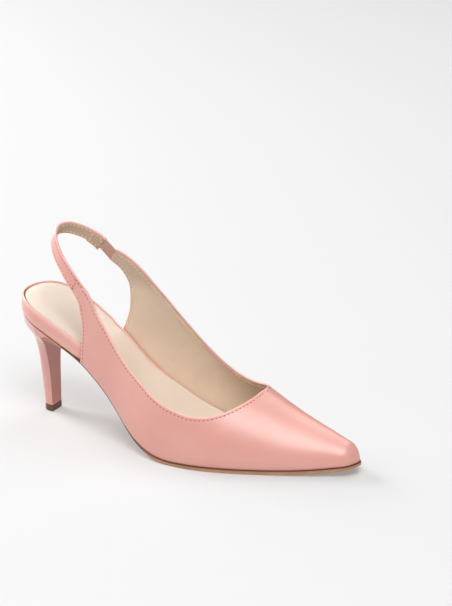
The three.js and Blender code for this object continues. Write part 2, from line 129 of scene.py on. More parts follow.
HEEL = [
    (0, 0.53, 0.855, 1), (0.06, 0.525, 0.85, 1), (0.32, 0.45, 0.83, 1.12), (0.52, 0.39, 0.805, 1.3),
    (0.66, 0.325, 0.785, 1.62), (0.78, 0.24, 0.78, 2.15), (0.88, 0.15, 0.81, 2.95),
    (1, 0.05, 0.95, 4.2)]
SLING = [
    (0.684, 0.927, 0.323, 0.452), (0.34, 0.717, 0.639, 0.778), (0.09, 0.398, 0.885, 0.969)]


def natural_spline(rows, column):
    xs = np.array([row[0] for row in rows], float)
    ys = np.array([row[column] for row in rows], float)
    count = len(xs)
    step = np.diff(xs)
    system = np.zeros((count, count))
    turn = np.zeros(count)
    system[0, 0] = system[-1, -1] = 1
    for i in range(1, count - 1):
        system[i, i - 1] = step[i - 1]
        system[i, i] = 2 * (step[i - 1] + step[i])
        system[i, i + 1] = step[i]
        turn[i] = 6 * ((ys[i + 1] - ys[i]) / step[i] - (ys[i] - ys[i - 1]) / step[i - 1])
    bend = np.linalg.solve(system, turn)

    def curve(value):
        x = np.clip(np.asarray(value, float), xs[0], xs[-1])
        i = np.clip(np.searchsorted(xs, x, side="right") - 1, 0, count - 2)
        a = (xs[i + 1] - x) / step[i]
        b = 1 - a
        lift = ((a ** 3 - a) * bend[i] + (b ** 3 - b) * bend[i + 1]) * step[i] ** 2 / 6
        return a * ys[i] + b * ys[i + 1] + lift
    return curve


def smooth(low, high, x):
    t = np.clip((np.asarray(x, float) - low) / (high - low), 0, 1)
    return t * t * (3 - 2 * t)


def mix(a, b, t):
    return a + (b - a) * t


def unit(v):
    return v / np.maximum(np.linalg.norm(v, axis=-1, keepdims=True), 1e-12)


def catmull_rom(points, steps=40):
    """Centripetal curve through the points, as a dense polyline."""
    pts = np.asarray(points, float)
    ext = np.vstack([2 * pts[0] - pts[1], pts, 2 * pts[-1] - pts[-2]])
    t = np.linspace(0, 1, steps, endpoint=False)[:, None]
    out = []
    for i in range(len(pts) - 1):
        p0, p1, p2, p3 = ext[i:i + 4]
        d0 = np.linalg.norm(p1 - p0) ** 0.5
        d1 = np.linalg.norm(p2 - p1) ** 0.5
        d2 = np.linalg.norm(p3 - p2) ** 0.5
        t1 = ((p1 - p0) / d0 - (p2 - p0) / (d0 + d1) + (p2 - p1) / d1) * d1
        t2 = ((p2 - p1) / d1 - (p3 - p1) / (d1 + d2) + (p3 - p2) / d2) * d1
        c2 = -3 * p1 + 3 * p2 - 2 * t1 - t2
        c3 = 2 * p1 - 2 * p2 + t1 + t2
        out.append(p1 + t1 * t + c2 * t ** 2 + c3 * t ** 3)
    out.append(pts[-1:])
    return np.vstack(out)


def run_lengths(line):
    return np.concatenate([[0], np.cumsum(np.linalg.norm(np.diff(line, axis=0), axis=1))])


def sample(line, run, places):
    return np.stack([np.interp(places, run, line[:, k]) for k in range(line.shape[1])], -1)


underside_share = natural_spline(UNDERSIDE, 1)
spring_share = natural_spline(SPRING, 1)
sole_share = natural_spline(SOLE_GROWTH, 1)
plan_share = {LATERAL: natural_spline(PLAN, 1), MEDIAL: natural_spline(PLAN, 2)}
crest_share, shoulder_share, rise_share, bulge_share = [natural_spline(GIRTH, k) for k in (1, 2, 3, 4)]
heel_back, heel_breast, heel_width = [natural_spline(HEEL, k) for k in (1, 2, 3)]
GROUND_CENTRE = float(heel_back(0) + heel_breast(0)) * HEEL_REACH / 2


# Last surface
def axis_y(x):
    return TIP_SHIFT * smooth(0.36, 1, x / LENGTH)


def end_round(x):
    seat = np.clip((SEAT_ROUND - x) / SEAT_ROUND, 0, 1)
    toe = np.clip((x - LENGTH + TOE_ROUND) / TOE_ROUND, 0, 1)
    return np.sqrt(1 - seat ** 2) * np.sqrt(1 - toe ** 2)


def edge_y(x, side):
    return axis_y(x) + side * BALL_WIDTH * plan_share[side](x / LENGTH) * end_round(x)


def underside_z(x, y):
    share = x / LENGTH
    oblique = OBLIQUE_SHARE * smooth(0.17, 0.42, share) * (1 - smooth(0.66, 0.86, share))
    rise = SEAT_RISE * underside_share((x - oblique * y) / LENGTH) - GROUND_SETTLE
    return np.maximum(0, rise) + TOE_SPRING * np.maximum(0, spring_share(share))


def feather_z(x, y):
    return underside_z(x, y) + mix(SOLE_WAIST, SOLE_FOREPART, sole_share(x / LENGTH))


def surface(x, q, side):
    """Point of the upper's outside: place along the shoe, share of the girth, side."""
    x = np.asarray(x, float)
    q = np.asarray(q, float)
    share = x / LENGTH
    middle = axis_y(x)
    foot_y = edge_y(x, side)
    foot_z = feather_z(x, foot_y)
    top_z = feather_z(x, middle) + THROAT_HEIGHT * crest_share(share) * end_round(x)
    bulge = side * THROAT_HEIGHT * bulge_share(share) * end_round(x)
    a, b, c, d = (1 - q) ** 3, 3 * (1 - q) ** 2 * q, 3 * (1 - q) * q * q, q ** 3
    side_z = foot_z + (top_z - foot_z) * rise_share(share)
    shoulder_y = mix(middle, foot_y, shoulder_share(share))
    y = a * foot_y + b * (foot_y + bulge) + c * shoulder_y + d * middle
    z = a * foot_z + b * side_z + c * top_z + d * top_z
    return np.stack([x + 0 * q, y, z + FIT], -1)


def surface_tangents(x, q, side):
    step = 0.05
    span = 0.004
    back = np.clip(np.minimum(x, LENGTH - step) - step, 0, None)
    front = np.minimum(LENGTH, back + 2 * step)
    low = np.clip(q - span, 0, 1)
    high = np.clip(q + span, 0, 1)
    forward = (surface(front, q, side) - surface(back, q, side)) / (front - back)[..., None]
    up = (surface(x, high, side) - surface(x, low, side)) / (high - low)[..., None]
    return forward, up


def surface_normal(x, q, side):
    forward, up = surface_tangents(x, q, side)
    n = unit(-side * np.cross(forward, up))
    n[x > LENGTH - 0.005] = (1, 0, 0)
    n[q <= 0, 2] = 0
    n = unit(n)
    top = q > 1 - 1e-6
    if np.any(top):
        forward, up = surface_tangents(x[top], q[top], -side)
        n[top] = unit(n[top] + unit(side * np.cross(forward, up)))
    return n


# Mesh helpers
def link(mesh, name):
    obj = bpy.data.objects.new(name, mesh)
    bpy.context.collection.objects.link(obj)
    return obj


def solid(name, points, faces, weld=2e-6, sharp=None, values=None):
    """Mesh object from points in millimetres of the model frame."""
    place = (np.asarray(points, float) - (GROUND_CENTRE, 0, 0)) * MM
    mesh = bpy.data.meshes.new(name)
    mesh.from_pydata(place.tolist(), [], faces)
    for key, numbers in (values or {}).items():
        layer = mesh.attributes.new(key, "FLOAT", "POINT")
        layer.data.foreach_set("value", np.asarray(numbers, np.float32))
    if weld:
        bm = bmesh.new()
        bm.from_mesh(mesh)
        bmesh.ops.remove_doubles(bm, verts=bm.verts, dist=weld)
        bmesh.ops.dissolve_degenerate(bm, edges=bm.edges, dist=weld)
        bmesh.ops.recalc_face_normals(bm, faces=bm.faces)
        bm.to_mesh(mesh)
        bm.free()
    mesh.shade_smooth()
    if sharp:
        mesh.set_sharp_from_angle(angle=math.radians(sharp))
    return link(mesh, name)


def grid_faces(rows, columns, start=0, flip=False):
    i, j = np.meshgrid(np.arange(rows - 1), np.arange(columns - 1), indexing="ij")
    a = start + (i * columns + j).ravel()
    quads = np.stack([a, a + columns, a + columns + 1, a + 1], -1)
    if flip:
        quads = quads[:, ::-1]
    return quads.tolist()


class Builder:
    """Collects grids of points and their faces."""

    def __init__(self):
        self.points = []
        self.faces = []
        self.count = 0
        self.values = {}

    def grid(self, grid, flip=False, **values):
        grid = np.asarray(grid, float)
        rows, columns = grid.shape[:2]
        self.faces += grid_faces(rows, columns, self.count, flip)
        self.points.append(grid.reshape(-1, 3))
        self.count += rows * columns
        for key, numbers in values.items():
            self.values.setdefault(key, []).append(np.broadcast_to(numbers, (rows, columns)).ravel())

    def slab(self, front, back, flip=False, turn=True, face=None, ends=None, sides=None):
        """Two grids as front and back, joined along their four rims; turn flips every other rim."""
        self.grid(front, flip, **(face or {}))
        self.grid(back, not flip, **(face or {}))
        for i in (0, -1):
            self.grid(np.stack([back[i], front[i]]), turn and i == -1, **(ends or {}))
            self.grid(np.stack([back[:, i], front[:, i]]), turn and i == 0, **(sides or {}))

    def make(self, name, **options):
        values = {key: np.concatenate(parts) for key, parts in self.values.items()}
        return solid(name, np.concatenate(self.points), self.faces, values=values, **options)


# Upper: grid of each side with rows close together along the edges
EDGE_STEPS = np.array([
    0, 0.03, 0.1, 0.2, 0.33, 0.48, 0.62, 0.8, 1.05, 1.35, 1.7, 2.05, 2.4, 2.7, 3, 3.3, 3.7, 4.3, 5.2])
FOOT_STEPS = np.array([0, 0.12, 0.3, 0.55, 0.9, 1.4, 2.1, 3.2])
MIDDLE_ROWS = 21
GRID_ROWS = len(FOOT_STEPS) + MIDDLE_ROWS + len(EDGE_STEPS)
FINE_ROWS = 240
REAR_WIDTH = 33.0
REAR_COLUMNS = 16
FRONT_COLUMNS = 65
VAMP_COLUMNS = 55
VAMP_CROWDING = 1.7
FULL_COLUMN = 26.0
CORNER_ROW = 11
LAST_ROW = 13
END_STEPS = 25


class Side:
    """One side of the upper: its edge curve and the grid over the last."""

    def __init__(self, side):
        self.side = side
        top = np.array([(x * LENGTH, q * GIRTH_LENGTH) for x, q in TOPLINE[side]])
        line = catmull_rom(top)
        self.top = line / (1, GIRTH_LENGTH)
        self.zone_end = REAR_ZONE_END * LENGTH
        self.zone_girth = float(np.interp(self.zone_end, self.top[:, 0], self.top[:, 1]))
        run = run_lengths(line)
        begin = float(np.interp(self.zone_end, line[:, 0], run))
        self.front_places = (begin, run[-1], run)
        rows = np.array(REAR_EDGE[side]) * (LENGTH, GIRTH_LENGTH)
        curve = catmull_rom(rows[:-2], 12)
        straight = mix(rows[-3], rows[-1], np.linspace(0, 1, END_STEPS)[1:, None])
        self.edge = np.vstack([curve, straight]) / (1, GIRTH_LENGTH)
        self.edge_index = np.concatenate([
            np.linspace(0, CORNER_ROW, len(curve)), np.linspace(CORNER_ROW, LAST_ROW, END_STEPS)[1:]])
        self.rear = self.edge[self.edge_index <= CORNER_ROW]

    def row_share(self, v):
        return np.interp(v, np.arange(LAST_ROW + 1), ROWS[self.side])

    def rear_column(self, share, v):
        edge_x = np.interp(v, self.edge_index, self.edge[:, 0])
        edge_q = np.interp(v, self.edge_index, self.edge[:, 1])
        row = self.row_share(v)
        x0 = self.top[0, 0]
        top_q = np.interp(mix(x0, self.zone_end, share), self.top[:, 0], self.top[:, 1])
        error = top_q - mix(self.edge[-1, 1], self.zone_girth, share)
        x = mix(edge_x, self.zone_end, share)
        return x, mix(edge_q, row * self.zone_girth, share) + error * row * row

    def front_column(self, share, v):
        row = self.row_share(v)
        begin, end, run = self.front_places
        place = mix(begin, end, share)
        top_x = np.interp(place, run, self.top[:, 0])
        top_q = np.interp(place, run, self.top[:, 1])
        foot = mix(self.zone_end, THROAT_FOOT_SHARE * LENGTH, share)
        return mix(foot, top_x, row), row * top_q

    def vamp_column(self, share, v):
        row = self.row_share(v)
        start = mix(THROAT_FOOT_SHARE, self.top[-1, 0] / LENGTH, row)
        return LENGTH * mix(start, 1, share), row

    def columns(self, inset=0.0):
        """(x, q) of the grid; inset leaves a margin along the free edges, in millimetres."""
        steps = (EDGE_STEPS + inset) / REAR_WIDTH
        rear = np.concatenate([steps, np.linspace(steps[-1], 1, REAR_COLUMNS + 1)[1:]])
        front = np.linspace(0, 1, FRONT_COLUMNS + 1)[1:]
        vamp = 1 - (1 - np.linspace(0, 1, VAMP_COLUMNS + 1)[1:]) ** VAMP_CROWDING
        kinds = [(self.rear_column, rear), (self.front_column, front), (self.vamp_column, vamp)]
        grid = []
        for kind, shares in kinds:
            for share in shares:
                margin = inset
                if kind == self.vamp_column:
                    margin = inset * float(1 - smooth(0, 0.05, share))
                grid.append(self.spaced(kind, share, margin))
        return np.array(grid)

    def spaced(self, kind, share, inset):
        """One column with its rows set by distance; a column without height keeps its one place."""
        x, q = kind(share, np.linspace(0, LAST_ROW, FINE_ROWS))
        run = run_lengths(surface(x, q, self.side))
        total = run[-1]
        if total < 1e-6:
            picks = np.linspace(0, FINE_ROWS - 1, GRID_ROWS).astype(int)
            return np.stack([np.full(GRID_ROWS, x[0]), q[picks]], -1)
        scale = min(1.0, total / FULL_COLUMN)
        top = total - (EDGE_STEPS * scale + inset)
        foot = FOOT_STEPS * scale
        middle = np.linspace(foot[-1], top[-1], MIDDLE_ROWS + 2)[1:-1]
        places = np.concatenate([foot, middle, top[::-1]])
        return np.stack([np.interp(places, run, x), np.interp(places, run, q)], -1)

    def offset_line(self, line, margin, count):
        """(x, q) of a line on the surface, margin inside a stretch of the edge."""
        run = run_lengths(surface(line[:, 0], line[:, 1], self.side))
        flat = sample(line, run, np.linspace(0, run[-1], count))
        p = surface(flat[:, 0], flat[:, 1], self.side)
        tangent = unit(np.gradient(p, axis=0))
        inside = unit(np.cross(surface_normal(flat[:, 0], flat[:, 1], self.side), tangent)) * self.side
        return self.project(p + inside * margin, flat)

    def project(self, goal, start):
        """(x, q) of the surface's points nearest to the goals, found from the start by Newton steps."""
        x, q = start[:, 0].copy(), start[:, 1].copy()
        for _ in range(6):
            forward, up = surface_tangents(x, q, self.side)
            gap = goal - surface(x, q, self.side)
            a, b, c = (forward ** 2).sum(-1), (forward * up).sum(-1), (up ** 2).sum(-1)
            e, f = (gap * forward).sum(-1), (gap * up).sum(-1)
            det = np.maximum(a * c - b * b, 1e-9)
            x = np.clip(x + (c * e - b * f) / det, 0, LENGTH)
            q = np.clip(q + (a * f - b * e) / det, 0, 1)
        return np.stack([x, q], -1)


sides = {side: Side(side) for side in (LATERAL, MEDIAL)}


def distance_to(points, line):
    out = np.empty(len(points))
    for i in range(0, len(points), 2000):
        chunk = points[i:i + 2000, None, :] - line[None]
        out[i:i + 2000] = np.sqrt((chunk ** 2).sum(-1).min(1))
    return out


def edge_samples(part):
    """Points close together along the free edge: rear edge from the feather up, end edge, topline."""
    line = np.vstack([part.edge, part.top[1:]])
    p = surface(line[:, 0], line[:, 1], part.side)
    run = run_lengths(p)
    return sample(p, run, np.arange(0, run[-1], 0.15))


UPPER_DROP = 0.8
DROP_REACH = 7.0
# How far the lighter edge colour reaches: partly burnished leather, partly painted highlight
BURNISH_SHEEN_FADE = 1.2
# Painted shade on the lining: towards the top of the collar and towards the toe
SHADE_COLLAR = 0.6
SHADE_RISE = (84, 98)
SHADE_REACH = (112, 165)


def upper_drop(x):
    """The leather reaches a little down over the forepart, so less of the sole's edge shows."""
    return UPPER_DROP * smooth(0.42, 0.58, x / LENGTH)


def shell(name, outer_depth, inner_depth, inset=0.0):
    """Closed shell over both sides; the depths are functions of the distances to edge and foot."""
    build = Builder()
    for side, part in sides.items():
        flat = part.columns(inset)
        x, q = flat[..., 0], flat[..., 1]
        base = surface(x, q, side)
        normal = surface_normal(x.ravel(), q.ravel(), side).reshape(base.shape)
        away = distance_to(base.reshape(-1, 3), edge_samples(part)).reshape(x.shape)
        foot = np.cumsum(np.linalg.norm(np.diff(base, axis=1, prepend=base[:, :1]), axis=2), axis=1)
        base[..., 2] -= upper_drop(x) * np.clip(1 - foot / DROP_REACH, 0, 1) ** 1.5
        outer = base - normal * outer_depth(away, foot, x, q, side)[..., None]
        inner = base - normal * inner_depth(away, foot, x, q, side)[..., None]
        flip = side == MEDIAL
        quarter = len(EDGE_STEPS) + REAR_COLUMNS + FRONT_COLUMNS
        # The edge value lightens the leather near its free edges: partly burnished leather, partly painted
        # highlight
        edge = np.exp(-away / BURNISH_SHEEN_FADE)
        # Darker lining towards the collar's top and towards the toe: painted shade
        deep = np.maximum(SHADE_COLLAR * smooth(*SHADE_RISE, base[..., 2]), smooth(*SHADE_REACH, x))
        build.grid(outer, flip, edge=edge, deep=deep)
        build.grid(inner, not flip, edge=edge, deep=deep)
        build.grid(np.stack([inner[:, 0], outer[:, 0]]), not flip, edge=0, deep=0)
        build.grid(np.stack([outer[0], inner[0]]), not flip, edge=1, deep=0)
        build.grid(np.stack([outer[:quarter, -1], inner[:quarter, -1]]), not flip, edge=1, deep=0)
    return build.make(name)


LEATHER = 1.2
LINING = UPPER_WALL - LEATHER
FOLD = 1.4
STITCH_MARGIN = 2.1
REAR_MARGIN = 1.6
FOLD_RELIEF = 0.16
FOOT_TUCK = 0.45
SKIN_GAP = 0.01
TAB_LINE = 89.2
TAB_THICKNESS = 0.14


def round_over(away, radius):
    """How far a face sinks at a distance from its rounded edge."""
    inside = np.clip(radius - away, 0, radius)
    return radius - np.sqrt(radius ** 2 - inside ** 2)


def doubled(x, q, side):
    """Extra thickness where the strap's end is sewn to the lateral quarter."""
    height = surface(x, q, side)[..., 2]
    return TAB_THICKNESS * smooth(TAB_LINE, TAB_LINE + 0.6, height) * (side == LATERAL)


def leather_outside(away, foot, x, q, side):
    fold = FOLD_RELIEF * smooth(0, 0.6, away) * (1 - smooth(1.1, 1.9, away))
    groove = 0.04 * np.exp(-((away - STITCH_MARGIN) / 0.4) ** 2)
    tuck = FOOT_TUCK * np.clip(1 - foot / 1.2, 0, 1) ** 2
    return round_over(away, LEATHER / 2) - fold + groove + tuck - doubled(x, q, side)


def leather_inside(away, foot, x, q, side):
    return LEATHER - round_over(away, LEATHER / 2)


def lining_outside(away, foot, x, q, side):
    return LEATHER + SKIN_GAP + round_over(away - FOLD, LINING / 2)


def lining_inside(away, foot, x, q, side):
    groove = 0.06 * np.exp(-((away - STITCH_MARGIN - 0.3) / 0.45) ** 2)
    return UPPER_WALL - round_over(away - FOLD, LINING / 2) - groove


leather = shell("upper_leather", leather_outside, leather_inside)
lining = shell("upper_lining", lining_outside, lining_inside, FOLD)


# Layers of the bottom
def outline_point(x, side, inset):
    """Point of the last's plan outline, moved square to it by the inset."""
    x = np.asarray(x, float)
    step = 0.05
    back = np.clip(x - step / 2, 0, LENGTH - step)
    rise = edge_y(back + step, side) - edge_y(back, side)
    size = np.hypot(step, rise)
    px = x + side * rise / size * inset
    py = edge_y(x, side) - side * step / size * inset
    px = np.where(x <= 0, inset, np.where(x >= LENGTH, LENGTH - inset, px))
    py = np.where(x <= 0, axis_y(0), np.where(x >= LENGTH, axis_y(LENGTH), py))
    return px, py


def stations(start, end, count, round_back, round_front):
    """Places along the shoe, closer together at the ends that are round."""
    share = np.linspace(0, 1, count + 1)
    angle = (1 - np.cos(np.pi * share)) / 2
    pull = round_back * (1 - smooth(0, 0.5, share)) + round_front * smooth(0.5, 1, share)
    return mix(start, end, mix(share, angle, pull))


def layer(name, xs, rings, columns):
    """Closed layer: rings of (inset, height, named values), each a function of the place."""
    build = Builder()
    loops = []
    ring_values = []
    share = np.linspace(0, 1, columns + 1)
    for number, (inset, height, values) in enumerate(rings):
        ax, ay = outline_point(xs, LATERAL, inset(xs, LATERAL))
        bx, by = outline_point(xs, MEDIAL, inset(xs, MEDIAL))
        px = mix(ax[:, None], bx[:, None], share)
        py = mix(ay[:, None], by[:, None], share)
        grid = np.stack([px, py, height(px, py)], -1)
        if number in (0, len(rings) - 1):
            build.grid(grid, number == 0, **{key: value(px, py) for key, value in values.items()})
        loop = np.vstack([grid[:, 0], grid[-1, 1:-1], grid[::-1, -1], grid[0, -2:0:-1], grid[:1, 0]])
        loops.append(loop)
        ring_values.append({key: value(loop[:, 0], loop[:, 1]) for key, value in values.items()})
    loop_values = {key: np.array([row[key] for row in ring_values]) for key in ring_values[0]}
    build.grid(np.array(loops), True, **loop_values)
    return build.make(name)


# Rim: each row of the table is a ring, from the underside out, up, over the bead and down inside it
RIM_SETBACK = 0.45
QUARTER_X = 55.0
QUARTER_BLEND = 6
BEAD = 1.4


def rim_height(x):
    return mix(SEAT_RIM, INSOLE_BOARD, smooth(0.23, 0.37, x / LENGTH))


def under_upper(x):
    """The rim runs flush to the quarters' rear edge and steps inside the upper there."""
    open_seat = RIM_SETBACK * smooth(0.15, 0.2, x / LENGTH)
    inside = UPPER_WALL + 2 * FIT
    return mix(open_seat, inside, smooth(QUARTER_X - QUARTER_BLEND, QUARTER_X + 1.2, x))


def bead_height(x):
    return BEAD * (1 - smooth(0.3, 0.5, x / LENGTH))


def rim_ring(inset_share, inset, height_share, bead, near_shade=0.0, far_shade=0.0, light=0.0):
    # The first value darkens the bead's inner slope next to the sock: painted shade. The second lightens
    # the rim's side and bead: painted highlight
    return (
        lambda x, side: under_upper(x) + inset_share * rim_height(x) + inset,
        lambda x, y: feather_z(x, y) + FIT + height_share * rim_height(x) + bead * bead_height(x),
        {"ink_and_shade": lambda x, y: mix(near_shade, far_shade, smooth(-4, 4, y)) * smooth(1, 4, x),
         "edge": lambda x, y: light + 0 * x})


# Rows: inset share, inset, height share, bead, then painted shade on the bead's inner slope near and far,
# then painted highlight on the rim
RIM = [
    (0.12, 0, 0, 0), (0.075, 0, 0.03, 0), (0.042, 0, 0.075, 0), (0.02, 0, 0.14, 0, 0, 0, 0.2),
    (0.006, 0, 0.23, 0, 0, 0, 0.4), (0, 0, 0.36, 0, 0, 0, 0.4), (0, 0, 0.5, 0), (0, 0.04, 0.64, 0),
    (0, 0.12, 0.76, 0), (0, 0.24, 0.86, 0, 0, 0, 0.2), (0, 0.4, 0.94, 0.1, 0, 0, 1),
    (0, 0.58, 0.99, 0.4, 0, 0, 1), (0, 0.78, 1, 0.7, 0, 0, 1), (0, 1, 1, 0.92, 0, 0, 1),
    (0, 1.2, 1, 1, 0, 0, 1), (0, 1.38, 1, 0.98, 0, 0, 1),
    (0, 1.46, 1, 0.955, 1), (0, 2.08, 1, 0.8, 1), (0, 2.2, 1, 0.35, 1, 0), (0, 2.27, 1, 0, 1, 0.6),
    (0, 2.6, 1, 0, 1, 1)]
quarter_steps = QUARTER_X + np.arange(-QUARTER_BLEND, 2)
insole_x = np.sort(np.concatenate([stations(0, LENGTH, 120, 1, 1), quarter_steps]))
rim_wrap = layer("rim_wrap", insole_x, [rim_ring(*row) for row in RIM], 14)


SOCK_SINK = 0.25
SOCK_EDGE = 0.35


def sock_top(x, y):
    """Thickness of the padded sock, thinner towards its edge."""
    edge = np.minimum(np.minimum(y - edge_y(x, LATERAL), edge_y(x, MEDIAL) - y) - under_upper(x), x)
    return mix(SOCK_EDGE, SOCK_THICKNESS, smooth(2, 9, edge))


def sock_ring(extra, height_share):
    def height(x, y):
        floor_z = feather_z(x, y) + 2 * FIT + rim_height(x) - SOCK_SINK
        return floor_z + height_share * (sock_top(x, y) + SOCK_SINK)

    def inset(x, side):
        return under_upper(x) + TOP_ROUNDING * rim_height(x) + SOCK_INSET + extra
    return inset, height, {}


sock_x = np.sort(np.concatenate([stations(0, 0.9 * LENGTH, 110, 1, 0), quarter_steps]))
SOCK = [(0.1, 0), (0, 0.3), (0, 0.62), (0.07, 0.8), (0.22, 0.93), (0.5, 1)]
sock = layer("sock_lining", sock_x, [sock_ring(*row) for row in SOCK], 14)


def sole_inset(x):
    return mix(WAIST_INSET, -WELT, smooth(0.36, 0.5, x / LENGTH))


WAIST = (38, 45, 100, 125)


def waist(x):
    return smooth(WAIST[0], WAIST[1], x) * (1 - smooth(WAIST[2], WAIST[3], x))


def sole_ring(extra, share, ink_and_shade, waist_ink, bevel):
    return (
        lambda x, side: sole_inset(x) + extra + bevel * waist(x),
        lambda x, y: mix(underside_z(x, y), feather_z(x, y) - upper_drop(x), share),
        {"ink_and_shade": lambda x, y: mix(ink_and_shade, waist_ink, waist(x))})


SOLE = [
    (SOLE_EDGE_ROUND, 0, 0, 0, 3.6), (0.14, 0.06, 0, 0.1, 3.1), (0.04, 0.15, 0, 0.2, 2.6),
    (0, 0.27, 0, 0.3, 1.9), (0, 0.5, 0, 0.4, 0.9), (0, 0.66, 0.05, 0.55, 0.2), (0.02, 0.76, 0.2, 0.8, 0.05),
    (0.06, 0.9, 0.6, 1, 0), (0.2, 1, 1, 1, 0)]
sole_x = stations(HEEL_REACH + FIT, LENGTH, 130, 0, 1)
outsole = layer("outsole_leather", sole_x, [sole_ring(*row) for row in SOLE], 20)


# Heel and top piece
def heel_section(turn, z):
    share = z / SEAT_RISE
    angle = turn * math.pi / 2
    back = heel_back(share) * HEEL_REACH
    breast = heel_breast(share) * HEEL_REACH
    half = heel_width(share) * TIP_WIDTH / 2
    x = breast - (breast - back) * np.cos(angle) ** SECTION_SQUARENESS
    y = half * np.sign(turn) * np.abs(np.sin(angle)) ** SECTION_SQUARENESS
    return np.stack([x, y, z + 0 * turn], -1)


def cup_point(turn):
    x = HEEL_REACH * (1 - np.cos(turn * math.pi / 2))
    ax, ay = outline_point(x, LATERAL, CUP_INSET - CUP_FILL)
    bx, by = outline_point(x, MEDIAL, CUP_INSET - CUP_FILL)
    px = np.where(turn < 0, ax, bx)
    py = np.where(turn < 0, ay, by)
    return np.stack([px, py, feather_z(px, py) - FIT], -1)


def heel_loop(turn, share):
    """Section of the heel at a share of its height, flaring into the cup's outline at the top."""
    cup = cup_point(turn)
    z = mix(TOP_PIECE_HEIGHT + FIT, cup[:, 2], share)
    body = heel_section(turn, z * SEAT_RISE / cup[:, 2])
    flare = smooth(0.72, 1, share) ** 1.6
    return np.stack([mix(body[:, 0], cup[:, 0], flare), mix(body[:, 1], cup[:, 1], flare), z], -1)


BREAST_COLUMNS = 6
SHARP_EDGE = 35


def loft(name, loops, painted_cup_highlight=0.0):
    """Closed loft of D sections, with its flat side to the front and the first and last section shut."""
    build = Builder()
    loops = np.array(loops)
    rise = np.linspace(0, 1, len(loops))[:, None]
    # The edge value lightens the heel's top into the cup: painted highlight. The breast value darkens the
    # breast face: painted shade
    build.grid(loops, breast=0, edge=painted_cup_highlight * smooth(0.55, 0.95, rise))
    share = np.concatenate([[0, 0.03], np.linspace(0.1, 0.9, BREAST_COLUMNS), [0.97, 1]])
    inner = (share > 0) & (share < 1)
    build.grid(mix(loops[:, -1:], loops[:, :1], share[None, :, None]), breast=inner, edge=0)
    half = (loops.shape[1] - 1) // 2
    for loop in (loops[0], loops[-1]):
        pairs = np.array([(loop[half - i], loop[half + i]) for i in range(half + 1)])
        build.grid(mix(pairs[:, :1], pairs[:, 1:], share[None, :, None]), breast=0, edge=0)
    return build.make(name, sharp=SHARP_EDGE)


TURN_LIMIT = 1 - 1e-9
turns = np.clip(np.linspace(-1, 1, 121), -TURN_LIMIT, TURN_LIMIT)
heel_loops = [heel_loop(turns, share ** 0.85) for share in np.linspace(0, 1, 70)]
heel = loft("heel_wrap", heel_loops, painted_cup_highlight=1.0)


def tip_loop(z, shrink):
    loop = heel_section(turns, np.full(len(turns), z))
    back = heel_section(np.zeros(1), np.full(1, z))[0]
    centre = mix(back, np.array([heel_breast(0) * HEEL_REACH, 0, z]), 0.5)
    return mix(loop, centre, shrink)


TIP_ROWS = [
    (0, 0.09), (0.12, 0.05), (0.35, 0.02), (0.8, 0.005), (TOP_PIECE_HEIGHT - 0.2, 0),
    (TOP_PIECE_HEIGHT, 0.02)]
top_piece = loft("top_piece_rubber", [tip_loop(*row) for row in TIP_ROWS])


# Sling: sections along one line, for the leather, its lining and the elastic
def shell_place(side, row, depth):
    x, q = REAR_EDGE[side][row]
    x = np.array([x * LENGTH])
    q = np.array([q])
    return (surface(x, q, side) - surface_normal(x, q, side) * depth)[0]


def end_edge(side):
    low = shell_place(side, CORNER_ROW, UPPER_WALL / 2)
    high = shell_place(side, LAST_ROW, UPPER_WALL / 2)
    return low, high, (low + high) / 2


def sling_path():
    back_z = float(feather_z(0.0, 0.0)) + SLING_HEIGHT

    def run(side, column):
        end = end_edge(side)[2]
        points = [end]
        for row in SLING:
            forward, across, rise = row[0], row[1], row[column]
            points.append((mix(SLING_BACK, end[0], forward), across * end[1], mix(end[2], back_z, rise)))
        return points

    return catmull_rom(run(LATERAL, 2) + [(SLING_BACK, 0, back_z)] + run(MEDIAL, 3)[::-1], 80)


sling_line = sling_path()
sling_run = run_lengths(sling_line)
sling_total = sling_run[-1]
elastic_start = sling_total - END_GAP - ELASTIC_LENGTH
strap_end = elastic_start - FIT
LEAN = np.array([math.sin(SLING_LEAN), 0, math.cos(SLING_LEAN)])
TANGENT_STEP = 0.5


class Sections:
    """Centre, across and outward directions, half width, upper and lower face of a band."""

    def __init__(self, centre, across, outward, half, top, bottom):
        count = len(centre)
        self.centre, self.across, self.outward = centre, across, outward
        self.half = np.broadcast_to(half, count).astype(float)
        self.top = np.broadcast_to(top, count).astype(float)
        self.bottom = np.broadcast_to(bottom, count).astype(float)

    def line(self, share, lift, face=1):
        """Points and normals of a line along the band; share runs from -1 to 1 across it."""
        height = np.where(face > 0, self.top + lift, self.bottom - lift)
        points = self.centre + self.across * (self.half * share)[:, None] + self.outward * height[:, None]
        return points, self.outward * face


def sling_sections(places, half, top, bottom):
    centre = sample(sling_line, sling_run, np.clip(places, 0, sling_total))
    ahead = sample(sling_line, sling_run, np.clip(places + TANGENT_STEP, 0, sling_total))
    behind = sample(sling_line, sling_run, np.clip(places - TANGENT_STEP, 0, sling_total))
    tangent = unit(ahead - behind)
    centre = centre + tangent * (places - np.clip(places, 0, sling_total))[:, None]
    across = unit(LEAN - tangent * (tangent @ LEAN)[:, None])
    starts, ends = end_edge(LATERAL), end_edge(MEDIAL)
    start_share = (1 - smooth(0, END_BLEND, places))[:, None]
    end_share = smooth(sling_total - END_BLEND, sling_total, places)[:, None]
    across = mix(across, (starts[1] - starts[0]) / STRAP_WIDTH, start_share)
    across = mix(across, (ends[1] - ends[0]) / STRAP_WIDTH, end_share)
    outward = unit(np.cross(across, tangent))
    return Sections(centre, across, outward, half, top, bottom)


